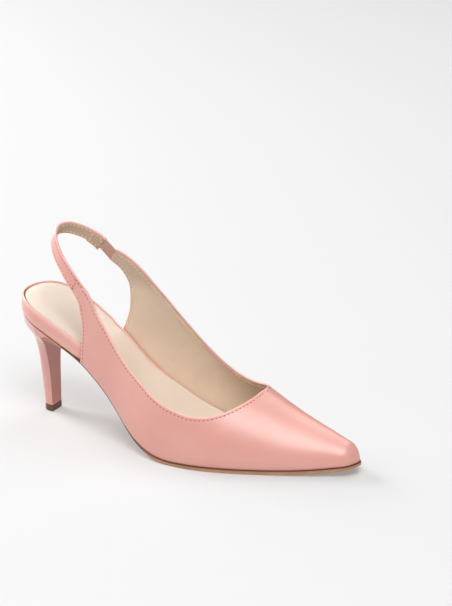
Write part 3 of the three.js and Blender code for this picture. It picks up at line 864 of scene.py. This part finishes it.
STRAP_MARGIN = 1.5
STRAP_INSIDE = -0.75
STRAP_ROUNDING = 0.85
LINING_FACES = (-0.7, -1.02)
LINING_MARGIN = 0.75
OVERLAP = 1.6
TIP_LENGTH = 9.5
TIP_STEP = 0.3
FLARE_STEP = 1.1
FLARE_RUN = 0.6


def tip_place(share):
    """Where the strap's rounded end lies along the sling; share runs from -1 at the rear edge to 1."""
    return TIP_LENGTH * (1 - np.sqrt(1 - ((share + 1) / 2 * 0.995) ** 2)) + 0.6


def band(name, sections, profile, columns=36, places=None):
    """Closed band; the profile gives how far each face sinks at a distance from the edge."""
    spread = np.sin(np.linspace(-1, 1, columns + 1) * math.pi / 2)
    spread = mix(spread, np.linspace(-1, 1, columns + 1), 0.35)
    u = sections.half[:, None] * spread
    away = sections.half[:, None] - np.abs(u)
    up = sections.top[:, None] - profile(away, 1)
    down = sections.bottom[:, None] + profile(away, -1)
    middle = (sections.top + sections.bottom)[:, None] / 2
    if places is not None:
        beyond = places[:, None] - tip_place(spread)[None]
        crease = 0.06 * np.exp(-((beyond - 0.1) / 0.3) ** 2)
        up = up - TIP_STEP * (1 - smooth(-0.18, 0.18, beyond)) - crease
    up = np.maximum(up, middle)
    down = np.minimum(down, middle)

    def place(w):
        grid = sections.centre[:, None] + sections.across[:, None] * u[..., None]
        return grid + sections.outward[:, None] * w[..., None]

    build = Builder()
    # The edge value lightens the band's edges: partly burnished leather, partly painted highlight
    burnish_sheen = {"edge": np.exp(-away / BURNISH_SHEEN_FADE)}
    build.slab(place(up), place(down), face=burnish_sheen, ends={"edge": 0.6}, sides={"edge": 1})
    return build.make(name)


def strap_profile(away, face):
    groove = 0.07 * np.exp(-((away - STRAP_MARGIN) / 0.35) ** 2)
    if face < 0:
        return round_over(away, STRAP_ROUNDING)
    return round_over(away, STRAP_ROUNDING) + 0.14 * smooth(0.9, 1.5, away) + groove


def thin_profile(away, face):
    return round_over(away, 0.15)


def flare_end(line, places):
    """The strap widens downwards at its free end, where it takes the elastic."""
    step = FLARE_STEP * smooth(strap_end - 11.5, strap_end - 9.5, places)
    extra = step + FLARE_RUN * smooth(strap_end - 9, strap_end, places)
    line.half = line.half + extra / 2
    line.centre = line.centre - line.across * (extra / 2)[:, None]


START_FACES = (0.75, -0.35)
START_LIFT = 0.62
START_NARROWING = 0.1
START_SINK = 0.5
FINE_STRETCH = 13


def sew_start(line, places):
    """The first stretch lies thinner on the quarter, and its very end sinks into the leather."""
    near = 1 - smooth(1, 16, places)
    line.centre = line.centre + line.outward * (START_LIFT * near)[:, None]
    line.half = line.half - START_NARROWING * (1 - smooth(-OVERLAP, 4, places))
    line.bottom = mix(line.bottom, START_FACES[1], near)
    line.top = mix(line.top, START_FACES[0], near) - START_SINK * (1 - smooth(-OVERLAP, -0.4, places))


strap_places = np.concatenate([
    np.linspace(-OVERLAP, FINE_STRETCH, 120), np.linspace(FINE_STRETCH, strap_end, 240)[1:]])
strap_line = sling_sections(strap_places, STRAP_WIDTH / 2, STRAP_THICKNESS / 2, STRAP_INSIDE)
sew_start(strap_line, strap_places)
flare_end(strap_line, strap_places)
strap = band("strap_leather", strap_line, strap_profile, 44, places=strap_places)
lining_places = np.linspace(0.4, strap_end - 0.5, 230)
strap_lining_line = sling_sections(lining_places, STRAP_WIDTH / 2 - LINING_MARGIN, *LINING_FACES)
flare_end(strap_lining_line, lining_places)
strap_lining = band("strap_lining", strap_lining_line, thin_profile)


ELASTIC_TUCK = 1.5
CORD_PITCH = 0.62
CORD_DEPTH = 0.05


def elastic_profile(away, face):
    return round_over(away, 0.4) + CORD_DEPTH * (1 + np.cos(away * 2 * math.pi / CORD_PITCH)) / 2


elastic_places = np.linspace(elastic_start - ELASTIC_TUCK, sling_total - END_GAP + ELASTIC_TUCK, 61)
elastic_half = ELASTIC_THICKNESS / 2
elastic_line = sling_sections(elastic_places, ELASTIC_WIDTH / 2, elastic_half, -elastic_half)
elastic = band("elastic_band", elastic_line, elastic_profile, 96)


# Stitching: threads between needle holes that are dark spots of painted shade, along lines of points with
# normals
PITCH = 2.75
TOP_DEPTH = 0.06
REAR_DEPTH = -0.03
STRAP_DEPTH = -0.18
INNER_SHIFT = {"top": 0.7, "rear": 0.5}
QUARTER_LINES = (1.6, 6.2)
QUARTER_TRIM = 0.35
STRAP_LINES = (1.6, 9.0)
ACROSS_REACH = 0.66
THREAD_RINGS = 7
THREAD_SIDES = 6
HOLE_SIDES = 8


def thread_faces():
    last = (THREAD_RINGS - 1) * THREAD_SIDES
    faces = []
    for i in range(THREAD_RINGS - 1):
        for j in range(THREAD_SIDES):
            a, b = i * THREAD_SIDES + j, i * THREAD_SIDES + (j + 1) % THREAD_SIDES
            faces.append([a, b, b + THREAD_SIDES, a + THREAD_SIDES])
    faces.append(list(range(THREAD_SIDES))[::-1])
    faces.append(list(range(last, last + THREAD_SIDES)))
    return faces


def hole_faces():
    """A rim with one point above its middle and one below."""
    over, under = HOLE_SIDES, HOLE_SIDES + 1
    pairs = [(i, (i + 1) % HOLE_SIDES) for i in range(HOLE_SIDES)]
    return [[a, b, over] for a, b in pairs] + [[b, a, under] for a, b in pairs]


THREAD_FACES = thread_faces()
HOLE_FACES = hole_faces()


class Stitching:
    """Threads and needle holes of one colour: pitch, thread radius and hole radius."""

    def __init__(self, pitch, radius, hole):
        self.pitch, self.radius, self.hole = pitch, radius, hole
        self.points, self.faces, self.kinds, self.count = [], [], [], 0

    def add(self, points, faces, kind):
        self.points.append(points)
        self.faces += [[self.count + k for k in face] for face in faces]
        self.kinds += [kind] * len(faces)
        self.count += len(points)

    def line(self, points, normals, trim=(0, 0)):
        run = run_lengths(points)
        length = run[-1] - trim[0] - trim[1]
        count = max(1, round(length / self.pitch))
        marks = trim[0] + length * np.arange(count + 1) / count
        step = length / count
        t = np.linspace(0, 1, THREAD_RINGS)
        arch = np.sqrt(np.sin(np.pi * np.clip(t, 0.02, 0.98)))
        angle = np.linspace(0, 2 * math.pi, THREAD_SIDES + 1)[:-1]
        for k in range(count):
            places = marks[k] + step * (0.14 + 0.72 * t)
            centre = sample(points, run, places)
            normal = unit(sample(normals, run, places))
            tangent = unit(np.gradient(centre, axis=0))
            cross = unit(np.cross(tangent, normal))
            centre = centre + normal * (self.radius * (arch * 1.15 - 0.75))[:, None]
            size = self.radius * (0.5 + 0.5 * arch)
            ring = (
                cross[:, None] * np.cos(angle)[None, :, None] * 1.15
                + normal[:, None] * np.sin(angle)[None, :, None] * 0.9)
            pts = (centre[:, None] + ring * size[:, None, None]).reshape(-1, 3)
            self.add(pts, THREAD_FACES, 0)
        spot = np.linspace(0, 2 * math.pi, HOLE_SIDES + 1)[:-1]
        for mark in marks:
            back, centre, front = sample(points, run, np.array([mark - 0.1, mark, mark + 0.1]))
            normal = unit(sample(normals, run, np.array([mark])))[0]
            ahead = unit(front - back)
            cross = unit(np.cross(ahead, normal))
            rim = centre + normal * 0.04 + self.hole * (
                ahead * np.cos(spot)[:, None] * 1.3 + cross * np.sin(spot)[:, None])
            top = centre + normal * 0.07
            self.add(np.vstack([rim, top[None], (centre - normal * 0.15)[None]]), HOLE_FACES, 1)

    def make(self, name, thread, hole):
        obj = solid(name, np.concatenate(self.points), self.faces, weld=0)
        obj.data.materials.append(thread)
        obj.data.materials.append(hole)
        obj.data.polygons.foreach_set("material_index", np.array(self.kinds, np.int32))
        return obj


def on_upper(side, flat, depth, face=1):
    """Points and normals at a depth under the upper's outside, facing out or in."""
    x, q = flat[:, 0], flat[:, 1]
    n = surface_normal(x, q, side)
    raised = doubled(x, q, side) if face > 0 else 0 * x
    return surface(x, q, side) + n * (raised - depth)[:, None], n * face


outer_stitch = Stitching(PITCH, radius=0.17, hole=0.36)
inner_stitch = Stitching(PITCH, radius=0.32, hole=0.16)
strap_stitch = Stitching(PITCH, radius=0.17, hole=0.33)
for side, part in sides.items():
    top_line = part.offset_line(part.top, STITCH_MARGIN, 500)
    rear_line = part.offset_line(part.rear, REAR_MARGIN, 200)
    outer_stitch.line(*on_upper(side, top_line, TOP_DEPTH), trim=(1.6, 0))
    outer_stitch.line(*on_upper(side, rear_line, REAR_DEPTH), trim=(1.2, 1.6))
    inner_top = part.offset_line(part.top, STITCH_MARGIN + INNER_SHIFT["top"], 500)
    inner_rear = part.offset_line(part.rear, REAR_MARGIN + INNER_SHIFT["rear"], 200)
    inner_stitch.line(*on_upper(side, inner_top, UPPER_WALL, -1), trim=(2, 0.5))
    inner_stitch.line(*on_upper(side, inner_rear, UPPER_WALL, -1), trim=(5, 2))
for distance in QUARTER_LINES:
    rows = np.linspace(CORNER_ROW + QUARTER_TRIM, LAST_ROW - QUARTER_TRIM, 20)
    flat = np.stack(sides[MEDIAL].rear_column(distance / REAR_WIDTH, rows), -1)
    outer_stitch.line(*on_upper(MEDIAL, flat, 0.0))
    inner_stitch.line(*on_upper(MEDIAL, flat, UPPER_WALL, -1))

edge_share = 1 - STRAP_MARGIN / (STRAP_WIDTH / 2)
for share in (-edge_share, edge_share):
    strap_stitch.line(*strap_line.line(share, STRAP_DEPTH), trim=(2.2, 1.2))
    inner_points, inner_normals = strap_lining_line.line(share * 1.1, 0.0, -1)
    inner_stitch.line(inner_points, inner_normals, trim=(2, 1.2))


def across_band(sections, place, lift, face=1):
    """A stitched line across a band at a distance from its far end."""
    run = run_lengths(sections.centre)
    share = np.linspace(-ACROSS_REACH, ACROSS_REACH, 16)
    places = np.full(len(share), run[-1] - place)
    centre = sample(sections.centre, run, places)
    across = sample(sections.across, run, places)
    outward = sample(sections.outward, run, places)
    half = np.interp(places, run, sections.half)
    if face > 0:
        height = np.interp(places, run, sections.top) + lift
    else:
        height = np.interp(places, run, sections.bottom) - lift
    return centre + across * (half * share)[:, None] + outward * height[:, None], outward * face


for place in STRAP_LINES:
    strap_stitch.line(*across_band(strap_line, place, -0.12))
    inner_stitch.line(*across_band(strap_lining_line, place - 0.5, 0.0, -1))


def tip_stitches():
    """The stitched line round the strap's rounded end."""
    share = np.linspace(-0.5, 0.93, 30)
    places = tip_place(share) + 1.2
    centre = sample(strap_line.centre, strap_places, places)
    across = unit(sample(strap_line.across, strap_places, places))
    outward = unit(sample(strap_line.outward, strap_places, places))
    top = np.interp(places, strap_places, strap_line.top) - 0.14
    half = np.interp(places, strap_places, strap_line.half)
    return centre + across * (half * share * 0.78)[:, None] + outward * top[:, None], outward


strap_stitch.line(*tip_stitches())


# In front of the medial side seam the leather's turned edge is wider inside
SEAM_X = 119.6
SEAM_RUN = 26.0
SEAM_WIDTH = 1.1
SEAM_START = 0.6
SEAM_STEPS = 60
SEAM_BURNISH_SHEEN = 0.8


def seam_fold():
    part = sides[MEDIAL]
    line = part.top[(part.top[:, 0] >= SEAM_X) & (part.top[:, 0] <= SEAM_X + SEAM_RUN)]
    width = (FOLD - SEAM_START + SEAM_WIDTH * (1 - np.linspace(0, 1, SEAM_STEPS)))[:, None]
    faces = []
    for depth in (UPPER_WALL + 0.16, UPPER_WALL - 0.2):
        rows = []
        for t in np.linspace(0, 1, 9):
            flat = part.offset_line(line, SEAM_START + width * t, SEAM_STEPS)
            x, q = flat[:, 0], flat[:, 1]
            sink = round_over(np.array([min(t, 1 - t) * 2.2]), 0.3)[0] if depth > UPPER_WALL else 0
            rows.append(surface(x, q, MEDIAL) - surface_normal(x, q, MEDIAL) * (depth - sink))
        faces.append(np.array(rows))
    build = Builder()
    # The fold takes the lighter edge colour: partly burnished leather, partly painted highlight
    build.grid(faces[0], True, edge=SEAM_BURNISH_SHEEN)
    build.grid(faces[1], edge=SEAM_BURNISH_SHEEN)
    for i in (0, -1):
        build.grid(np.stack([faces[0][i], faces[1][i]]), edge=SEAM_BURNISH_SHEEN)
        build.grid(np.stack([faces[0][:, i], faces[1][:, i]]), edge=0)
    return build.make("side_seam_fold")


seam = seam_fold()


# Lip of the sole leather over the top of the heel breast, and the thin ends beside the sole
LIP_DROP = 3.4
LIP_THICKNESS = 1.3
LIP_COLUMNS = 41
FLAP_THICKNESS = 0.45
SHARP_TRIM = 50


def breast_lip():
    ends = np.array([-TURN_LIMIT, TURN_LIMIT])
    drop = np.minimum(1, (1 - np.abs(np.linspace(-1, 1, LIP_COLUMNS))) * 16) ** 0.5
    front = []
    back = []
    for t in np.linspace(0, 1, 12):
        low, high = heel_loop(ends, 1 - t * LIP_DROP / (SEAT_RISE - TOP_PIECE_HEIGHT))
        y = mix(low[1], high[1], np.linspace(0, 1, LIP_COLUMNS)) * 0.985
        x = mix(low[0], high[0], 0.5) + 0 * y
        z = underside_z(x, y) + 0.5 - LIP_DROP * t * mix(0.82, 1, drop)
        bulk = LIP_THICKNESS * (math.cos(t * math.pi / 2) ** 0.7 * 0.75 + 0.25)
        front.append(np.stack([x + bulk * mix(0.5, 1, drop), y, z], -1))
        back.append(np.stack([x + 0.02, y, z], -1))
    build = Builder()
    build.slab(np.array(front), np.array(back))
    return build.make("sole_lip", sharp=SHARP_TRIM)


def flaps(name, begin, blunt, end, drop, setback):
    """Thin pieces hanging beside the sole's edge on both sides, running out towards the toe."""
    build = Builder()
    for side in (LATERAL, MEDIAL):
        x = np.linspace(begin, end, 40)
        taper = (1 - smooth(blunt, end, x)) ** 0.8
        faces = []
        for depth in (setback, setback + FLAP_THICKNESS):
            px, py = outline_point(x, side, (CUP_INSET - CUP_FILL) * (1 - smooth(14, 26, x)) + depth)
            top = feather_z(px, py) + 0.2
            low = mix(top - 0.25, underside_z(px, py) - drop, taper)
            rows = []
            for t in np.linspace(0, 1, 9):
                rows.append(np.stack([px, py - side * 0.5 * t * taper, mix(top, low, t)], -1))
            faces.append(np.array(rows))
        build.slab(*faces, flip=side == LATERAL, turn=False)
    return build.make(name, sharp=SHARP_TRIM)


wings = flaps(
    "heel_cup_wings", begin=HEEL_REACH - 3, blunt=HEEL_REACH - 1, end=31.5, drop=3.2, setback=-0.12)
lip_ends = flaps("sole_lip_ends", begin=25, blunt=28.5, end=41, drop=1.6, setback=0.2)
lip = breast_lip()


# Materials
def srgb(r, g, b):
    out = []
    for c in (r, g, b):
        c /= 255
        out.append(c / 12.92 if c <= 0.04045 else ((c + 0.055) / 1.055) ** 2.4)
    return (*out, 1.0)


class Nodes:
    """Shorthand for building one material's nodes."""

    def __init__(self, name, roughness):
        self.material = bpy.data.materials.new(name)
        self.material.use_nodes = True
        self.tree = self.material.node_tree
        self.shader = self.tree.nodes["Principled BSDF"]
        self.shader.inputs["Roughness"].default_value = roughness
        self.place = self.tree.nodes.new("ShaderNodeTexCoord").outputs["Object"]

    def node(self, kind, **settings):
        made = self.tree.nodes.new(kind)
        for key, value in settings.items():
            setattr(made, key, value)
        return made

    def join(self, source, target):
        if isinstance(source, (int, float, tuple)):
            target.default_value = source
        else:
            self.tree.links.new(source, target)

    def noise(self, scale, detail=2.0, roughness=0.5, distortion=0.0, stretch=None):
        made = self.node("ShaderNodeTexNoise")
        made.inputs["Scale"].default_value = scale
        made.inputs["Detail"].default_value = detail
        made.inputs["Roughness"].default_value = roughness
        made.inputs["Distortion"].default_value = distortion
        place = self.place
        if stretch:
            mapping = self.node("ShaderNodeMapping")
            mapping.inputs["Scale"].default_value = stretch
            self.join(place, mapping.inputs["Vector"])
            place = mapping.outputs["Vector"]
        self.join(place, made.inputs["Vector"])
        return made.outputs["Fac"]

    def cells(self, scale, feature="SMOOTH_F1"):
        made = self.node("ShaderNodeTexVoronoi", feature=feature)
        made.inputs["Scale"].default_value = scale
        self.join(self.place, made.inputs["Vector"])
        return made.outputs["Distance"]

    def ramp(self, value, low, high, from_low=0.3, from_high=0.7):
        made = self.node("ShaderNodeMapRange")
        self.join(value, made.inputs["Value"])
        limits = {"From Min": from_low, "From Max": from_high, "To Min": low, "To Max": high}
        for key, number in limits.items():
            made.inputs[key].default_value = number
        return made.outputs["Result"]

    def math(self, operation, a, b):
        made = self.node("ShaderNodeMath", operation=operation)
        self.join(a, made.inputs[0])
        self.join(b, made.inputs[1])
        return made.outputs[0]

    def blend(self, factor, a, b, mode="MIX"):
        made = self.node("ShaderNodeMix", data_type="RGBA", blend_type=mode)
        self.join(factor, made.inputs["Factor"])
        self.join(a, made.inputs[6])
        self.join(b, made.inputs[7])
        return made.outputs[2]

    def attribute(self, name):
        return self.node("ShaderNodeAttribute", attribute_name=name).outputs["Fac"]

    def bump(self, height, strength, distance, after=None):
        made = self.node("ShaderNodeBump")
        made.inputs["Strength"].default_value = strength
        made.inputs["Distance"].default_value = distance
        self.join(height, made.inputs["Height"])
        if after is not None:
            self.join(after, made.inputs["Normal"])
        return made.outputs["Normal"]

    def finish(self, colour, roughness=None, normal=None, **sockets):
        self.join(colour, self.shader.inputs["Base Color"])
        if roughness is not None:
            self.join(roughness, self.shader.inputs["Roughness"])
        if normal is not None:
            self.join(normal, self.shader.inputs["Normal"])
        for key, value in sockets.items():
            self.shader.inputs[key.replace("_", " ")].default_value = value
        return self.material


def smooth_leather(name, light, dark, edge, roughness=0.36, ink_and_shade=None, breast=None, coat=(0.5, 0.3)):
    n = Nodes(name, roughness)
    tone = n.ramp(n.noise(28, 3, 0.55), 0, 1)
    colour = n.blend(tone, light, dark)
    colour = n.blend(n.ramp(n.noise(700, 4, 0.6), 0, 0.16), colour, dark)
    # Lighter colour at free edges (partly burnished leather, partly painted highlight), on the rim and on
    # the heel's top (painted highlight)
    colour = n.blend(n.math("MULTIPLY", n.attribute("edge"), 0.45), colour, edge)
    # Darker colour on the rim bead's inner slope: painted shade
    if ink_and_shade:
        colour = n.blend(n.attribute("ink_and_shade"), colour, ink_and_shade)
    # Darker colour on the heel's breast: painted shade
    if breast:
        colour = n.blend(n.attribute("breast"), colour, breast)
    grain = n.math("ADD", n.cells(1500), n.math("MULTIPLY", n.noise(2600, 3, 0.6), 0.5))
    normal = n.bump(grain, 0.10, 0.0002)
    normal = n.bump(n.noise(110, 3, 0.5), 0.12, 0.0006, normal)
    rough = n.ramp(n.noise(160, 4, 0.6), roughness - 0.05, roughness + 0.07)
    return n.finish(colour, rough, normal, Coat_Weight=coat[0], Coat_Roughness=coat[1])


def lining_leather(name, light, dark, roughness, scale, deep=None):
    n = Nodes(name, roughness)
    tone = n.ramp(n.noise(35, 4, 0.6, 0.4), 0, 1)
    colour = n.blend(tone, light, dark)
    # Darker colour inside the lining, near the collar and towards the toe: painted shade
    if deep:
        colour = n.blend(n.attribute("deep"), colour, deep)
    fibre = n.noise(scale, 5, 0.65, 0.3, (1, 1, 2.2))
    colour = n.blend(n.ramp(fibre, 0, 0.35), colour, dark)
    grain = n.math("ADD", n.cells(1300), fibre)
    normal = n.bump(grain, 0.22, 0.0003)
    normal = n.bump(n.noise(85, 4, 0.6, 0.5), 0.3, 0.0008, normal)
    rough = n.ramp(fibre, roughness - 0.06, roughness + 0.08)
    return n.finish(colour, rough, normal, Sheen_Weight=0.12, Sheen_Roughness=0.5)


def sole_leather():
    n = Nodes("sole_leather", 0.5)
    tone = n.ramp(n.noise(60, 4, 0.6), 0, 1)
    colour = n.blend(tone, srgb(206, 158, 120), srgb(186, 136, 98))
    fibre = n.noise(900, 5, 0.7, 0.2, (1, 1, 3))
    colour = n.blend(n.ramp(fibre, 0, 0.4), colour, srgb(150, 104, 72))
    colour = n.blend(n.attribute("ink_and_shade"), colour, srgb(118, 80, 58))
    normal = n.bump(fibre, 0.25, 0.0002)
    rough = n.ramp(n.noise(300, 3), 0.42, 0.6)
    return n.finish(colour, rough, normal)


def rubber():
    n = Nodes("brown_rubber", 0.55)
    speck = n.ramp(n.noise(1800, 3, 0.6), 0, 1, 0.4, 0.62)
    colour = n.blend(speck, srgb(124, 84, 66), srgb(98, 64, 50))
    normal = n.bump(n.noise(2400, 4, 0.6), 0.2, 0.0002)
    rough = n.ramp(n.noise(400, 3), 0.48, 0.62)
    return n.finish(colour, rough, normal)


def woven():
    n = Nodes("mauve_elastic", 0.8)
    weave = n.cells(2300, "F1")
    colour = n.blend(n.ramp(weave, 0, 1, 0.1, 0.6), srgb(230, 190, 172), srgb(200, 154, 138))
    colour = n.blend(n.ramp(n.noise(500, 3), 0, 0.3), colour, srgb(184, 138, 124))
    normal = n.bump(weave, 0.5, 0.0003)
    rough = n.ramp(n.noise(700, 2), 0.72, 0.88)
    return n.finish(colour, rough, normal, Sheen_Weight=0.2)


def thread(name, light, dark):
    n = Nodes(name, 0.6)
    twist = n.noise(3000, 2, 0.5, 1.0)
    colour = n.blend(n.ramp(twist, 0, 1), light, dark)
    normal = n.bump(twist, 0.4, 0.0002)
    rough = n.ramp(n.noise(1500, 2), 0.5, 0.7)
    return n.finish(colour, rough, normal, Sheen_Weight=0.15)


def shade(name, colour):
    n = Nodes(name, 0.9)
    tone = n.ramp(n.noise(2000, 2), 0, 0.4)
    return n.finish(n.blend(tone, colour, srgb(90, 45, 40)), n.ramp(n.noise(900, 2), 0.8, 0.95))


# Pink leather: its third colour is for the lighter free edges, partly burnished leather and partly painted
# highlight
pink = smooth_leather("pink_leather", srgb(233, 170, 159), srgb(226, 160, 148), srgb(245, 196, 186))
# Rim leather: its lighter colour is a painted highlight, its darker colour painted shade
pink_rim = smooth_leather(
    "pink_rim_leather", srgb(233, 171, 160), srgb(226, 161, 149), srgb(252, 206, 197),
    ink_and_shade=srgb(166, 100, 90))
# Heel leather: its lighter colour is a painted highlight on the heel's top, its darker colour painted shade
# on the breast
pink_heel = smooth_leather(
    "pink_heel", srgb(232, 171, 161), srgb(224, 160, 150), srgb(252, 216, 208), 0.34,
    breast=srgb(196, 122, 110), coat=(0.45, 0.3))
# Lining: its third colour is painted shade, near the collar and towards the toe
tan = lining_leather(
    "tan_lining", srgb(240, 221, 199), srgb(229, 207, 184), 0.62, 420, srgb(174, 148, 124))
# A darker copy of the lining for the strap's inside: painted shade
shaded_tan_strap = lining_leather("tan_strap_lining", srgb(200, 173, 150), srgb(188, 160, 136), 0.62, 420)
cream = lining_leather("cream_lining", srgb(234, 218, 203), srgb(227, 210, 194), 0.58, 300)
sole_mat = sole_leather()
brown = rubber()
mauve = woven()
pink_thread = thread("pink_thread", srgb(234, 174, 163), srgb(222, 156, 145))
tan_thread = thread("tan_thread", srgb(236, 219, 196), srgb(214, 192, 164))
# Needle holes: dark spots of painted shade
hole_pink = shade("pink_needle_hole", srgb(140, 78, 72))
hole_tan = shade("tan_needle_hole", srgb(138, 108, 84))

# Every piece with its material, its slot and the node that it replaces; stitching brings its own
PIECES = [
    (leather, pink, "leather", "upper"),
    (lining, tan, "leather", None),
    (rim_wrap, pink_rim, "rim_wrap", "insole"),
    (sock, cream, "sock_lining", "sock"),
    (outsole, sole_mat, "sole", "outsole"),
    (lip, sole_mat, "sole", None),
    (lip_ends, sole_mat, "sole", None),
    (wings, pink_heel, "heel_wrap", None),
    (seam, pink, "leather", None),
    (heel, pink_heel, "heel_wrap", "heel"),
    (top_piece, brown, "top_piece", "top_piece"),
    (strap, pink, "strap_leather", "sling_strap"),
    (strap_lining, shaded_tan_strap, "strap_leather", None),
    (elastic, mauve, "elastic", "elastic"),
    (outer_stitch.make("upper_stitching", pink_thread, hole_pink), None, "leather", None),
    (strap_stitch.make("strap_stitching", pink_thread, hole_pink), None, "strap_leather", None),
    (inner_stitch.make("lining_stitching", tan_thread, hole_tan), None, "leather", None)]
for piece, material, slot, node in PIECES:
    if material:
        piece.data.materials.append(material)
    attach(piece, "root")
    if node:
        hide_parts(node)

# Floor, light and camera: places in metres of the row's frame, lamps with their watts
DOME_LIGHT = 0.07
FLOOR_GLOW = 0.25
FLOOR_TONE = 0.48
LIGHT_AIM = (0.1, 0, 0.04)
LIGHT_SIZE = 1.2
LIGHTS = [
    ("overhead", (0.14, 0, 2.24), 5.0),
    ("front_high", (0.1, -1.2, 1.89), 7.0),
    ("behind", (0.1, 1.2, 1.89), 12.0),
    ("right_high", (0.83, -0.95, 1.89), 29.0),
    ("front_left", (-1.12, -1.46, 1.14), 5.0),
    ("left_low", (-1.78, 0.33, 1.14), 46.0),
    ("right_low", (1.66, -1.09, 1.14), 4.0)]
FLOOR_REACH = 6.0


def floor_look():
    n = Nodes("floor", 0.9)
    light, dark = [(tone, tone, tone, 1) for tone in (FLOOR_TONE, FLOOR_TONE * 0.99)]
    return n.finish(
        n.blend(n.ramp(n.noise(3), 0, 1), light, dark),
        Emission_Color=(1, 1, 1, 1), Emission_Strength=FLOOR_GLOW, Specular_IOR_Level=0.0)


floor_mesh = bpy.data.meshes.new("floor")
corners = [(x * FLOOR_REACH, y * FLOOR_REACH, 0) for x, y in ((-1, -1), (1, -1), (1, 1), (-1, 1))]
floor_mesh.from_pydata(corners, [], [(0, 1, 2, 3)])
floor = link(floor_mesh, "floor")
floor.data.materials.append(floor_look())

world = bpy.data.worlds.new("studio")
bpy.context.scene.world = world
world.use_nodes = True
world.node_tree.nodes["Background"].inputs["Color"].default_value = (1, 1, 1, 1)
world.node_tree.nodes["Background"].inputs["Strength"].default_value = DOME_LIGHT
bpy.context.scene.view_settings.view_transform = "Standard"


def area_light(name, place, power):
    data = bpy.data.lights.new(name, "AREA")
    data.shape = "SQUARE"
    data.size = LIGHT_SIZE
    data.energy = power
    lamp = bpy.data.objects.new(name, data)
    bpy.context.collection.objects.link(lamp)
    lamp.location = place
    lamp.rotation_euler = (Vector(LIGHT_AIM) - Vector(place)).to_track_quat("-Z", "Y").to_euler()


for light in LIGHTS:
    area_light(*light)

AZIMUTH = math.radians(29.4)
ELEVATION = math.radians(20)
TARGET = Vector((148.9 - GROUND_CENTRE, 0, 97.8)) * MM
DISTANCE = 1.752
FOCAL = 2781
PHOTO_HEIGHT = 606
SENSOR = 24
out = Vector((
    math.cos(ELEVATION) * math.sin(AZIMUTH),
    -math.cos(ELEVATION) * math.cos(AZIMUTH),
    math.sin(ELEVATION)))
camera_data = bpy.data.cameras.new("camera")
camera_data.sensor_fit = "VERTICAL"
camera_data.sensor_height = SENSOR
camera_data.sensor_width = SENSOR
camera_data.lens = SENSOR * FOCAL / PHOTO_HEIGHT
camera_data.clip_start = 0.05
camera_data.clip_end = 20
camera = bpy.data.objects.new("camera", camera_data)
bpy.context.collection.objects.link(camera)
camera.location = TARGET + out * DISTANCE
camera.rotation_euler = (-out).to_track_quat("-Z", "Y").to_euler()
bpy.context.scene.camera = camera
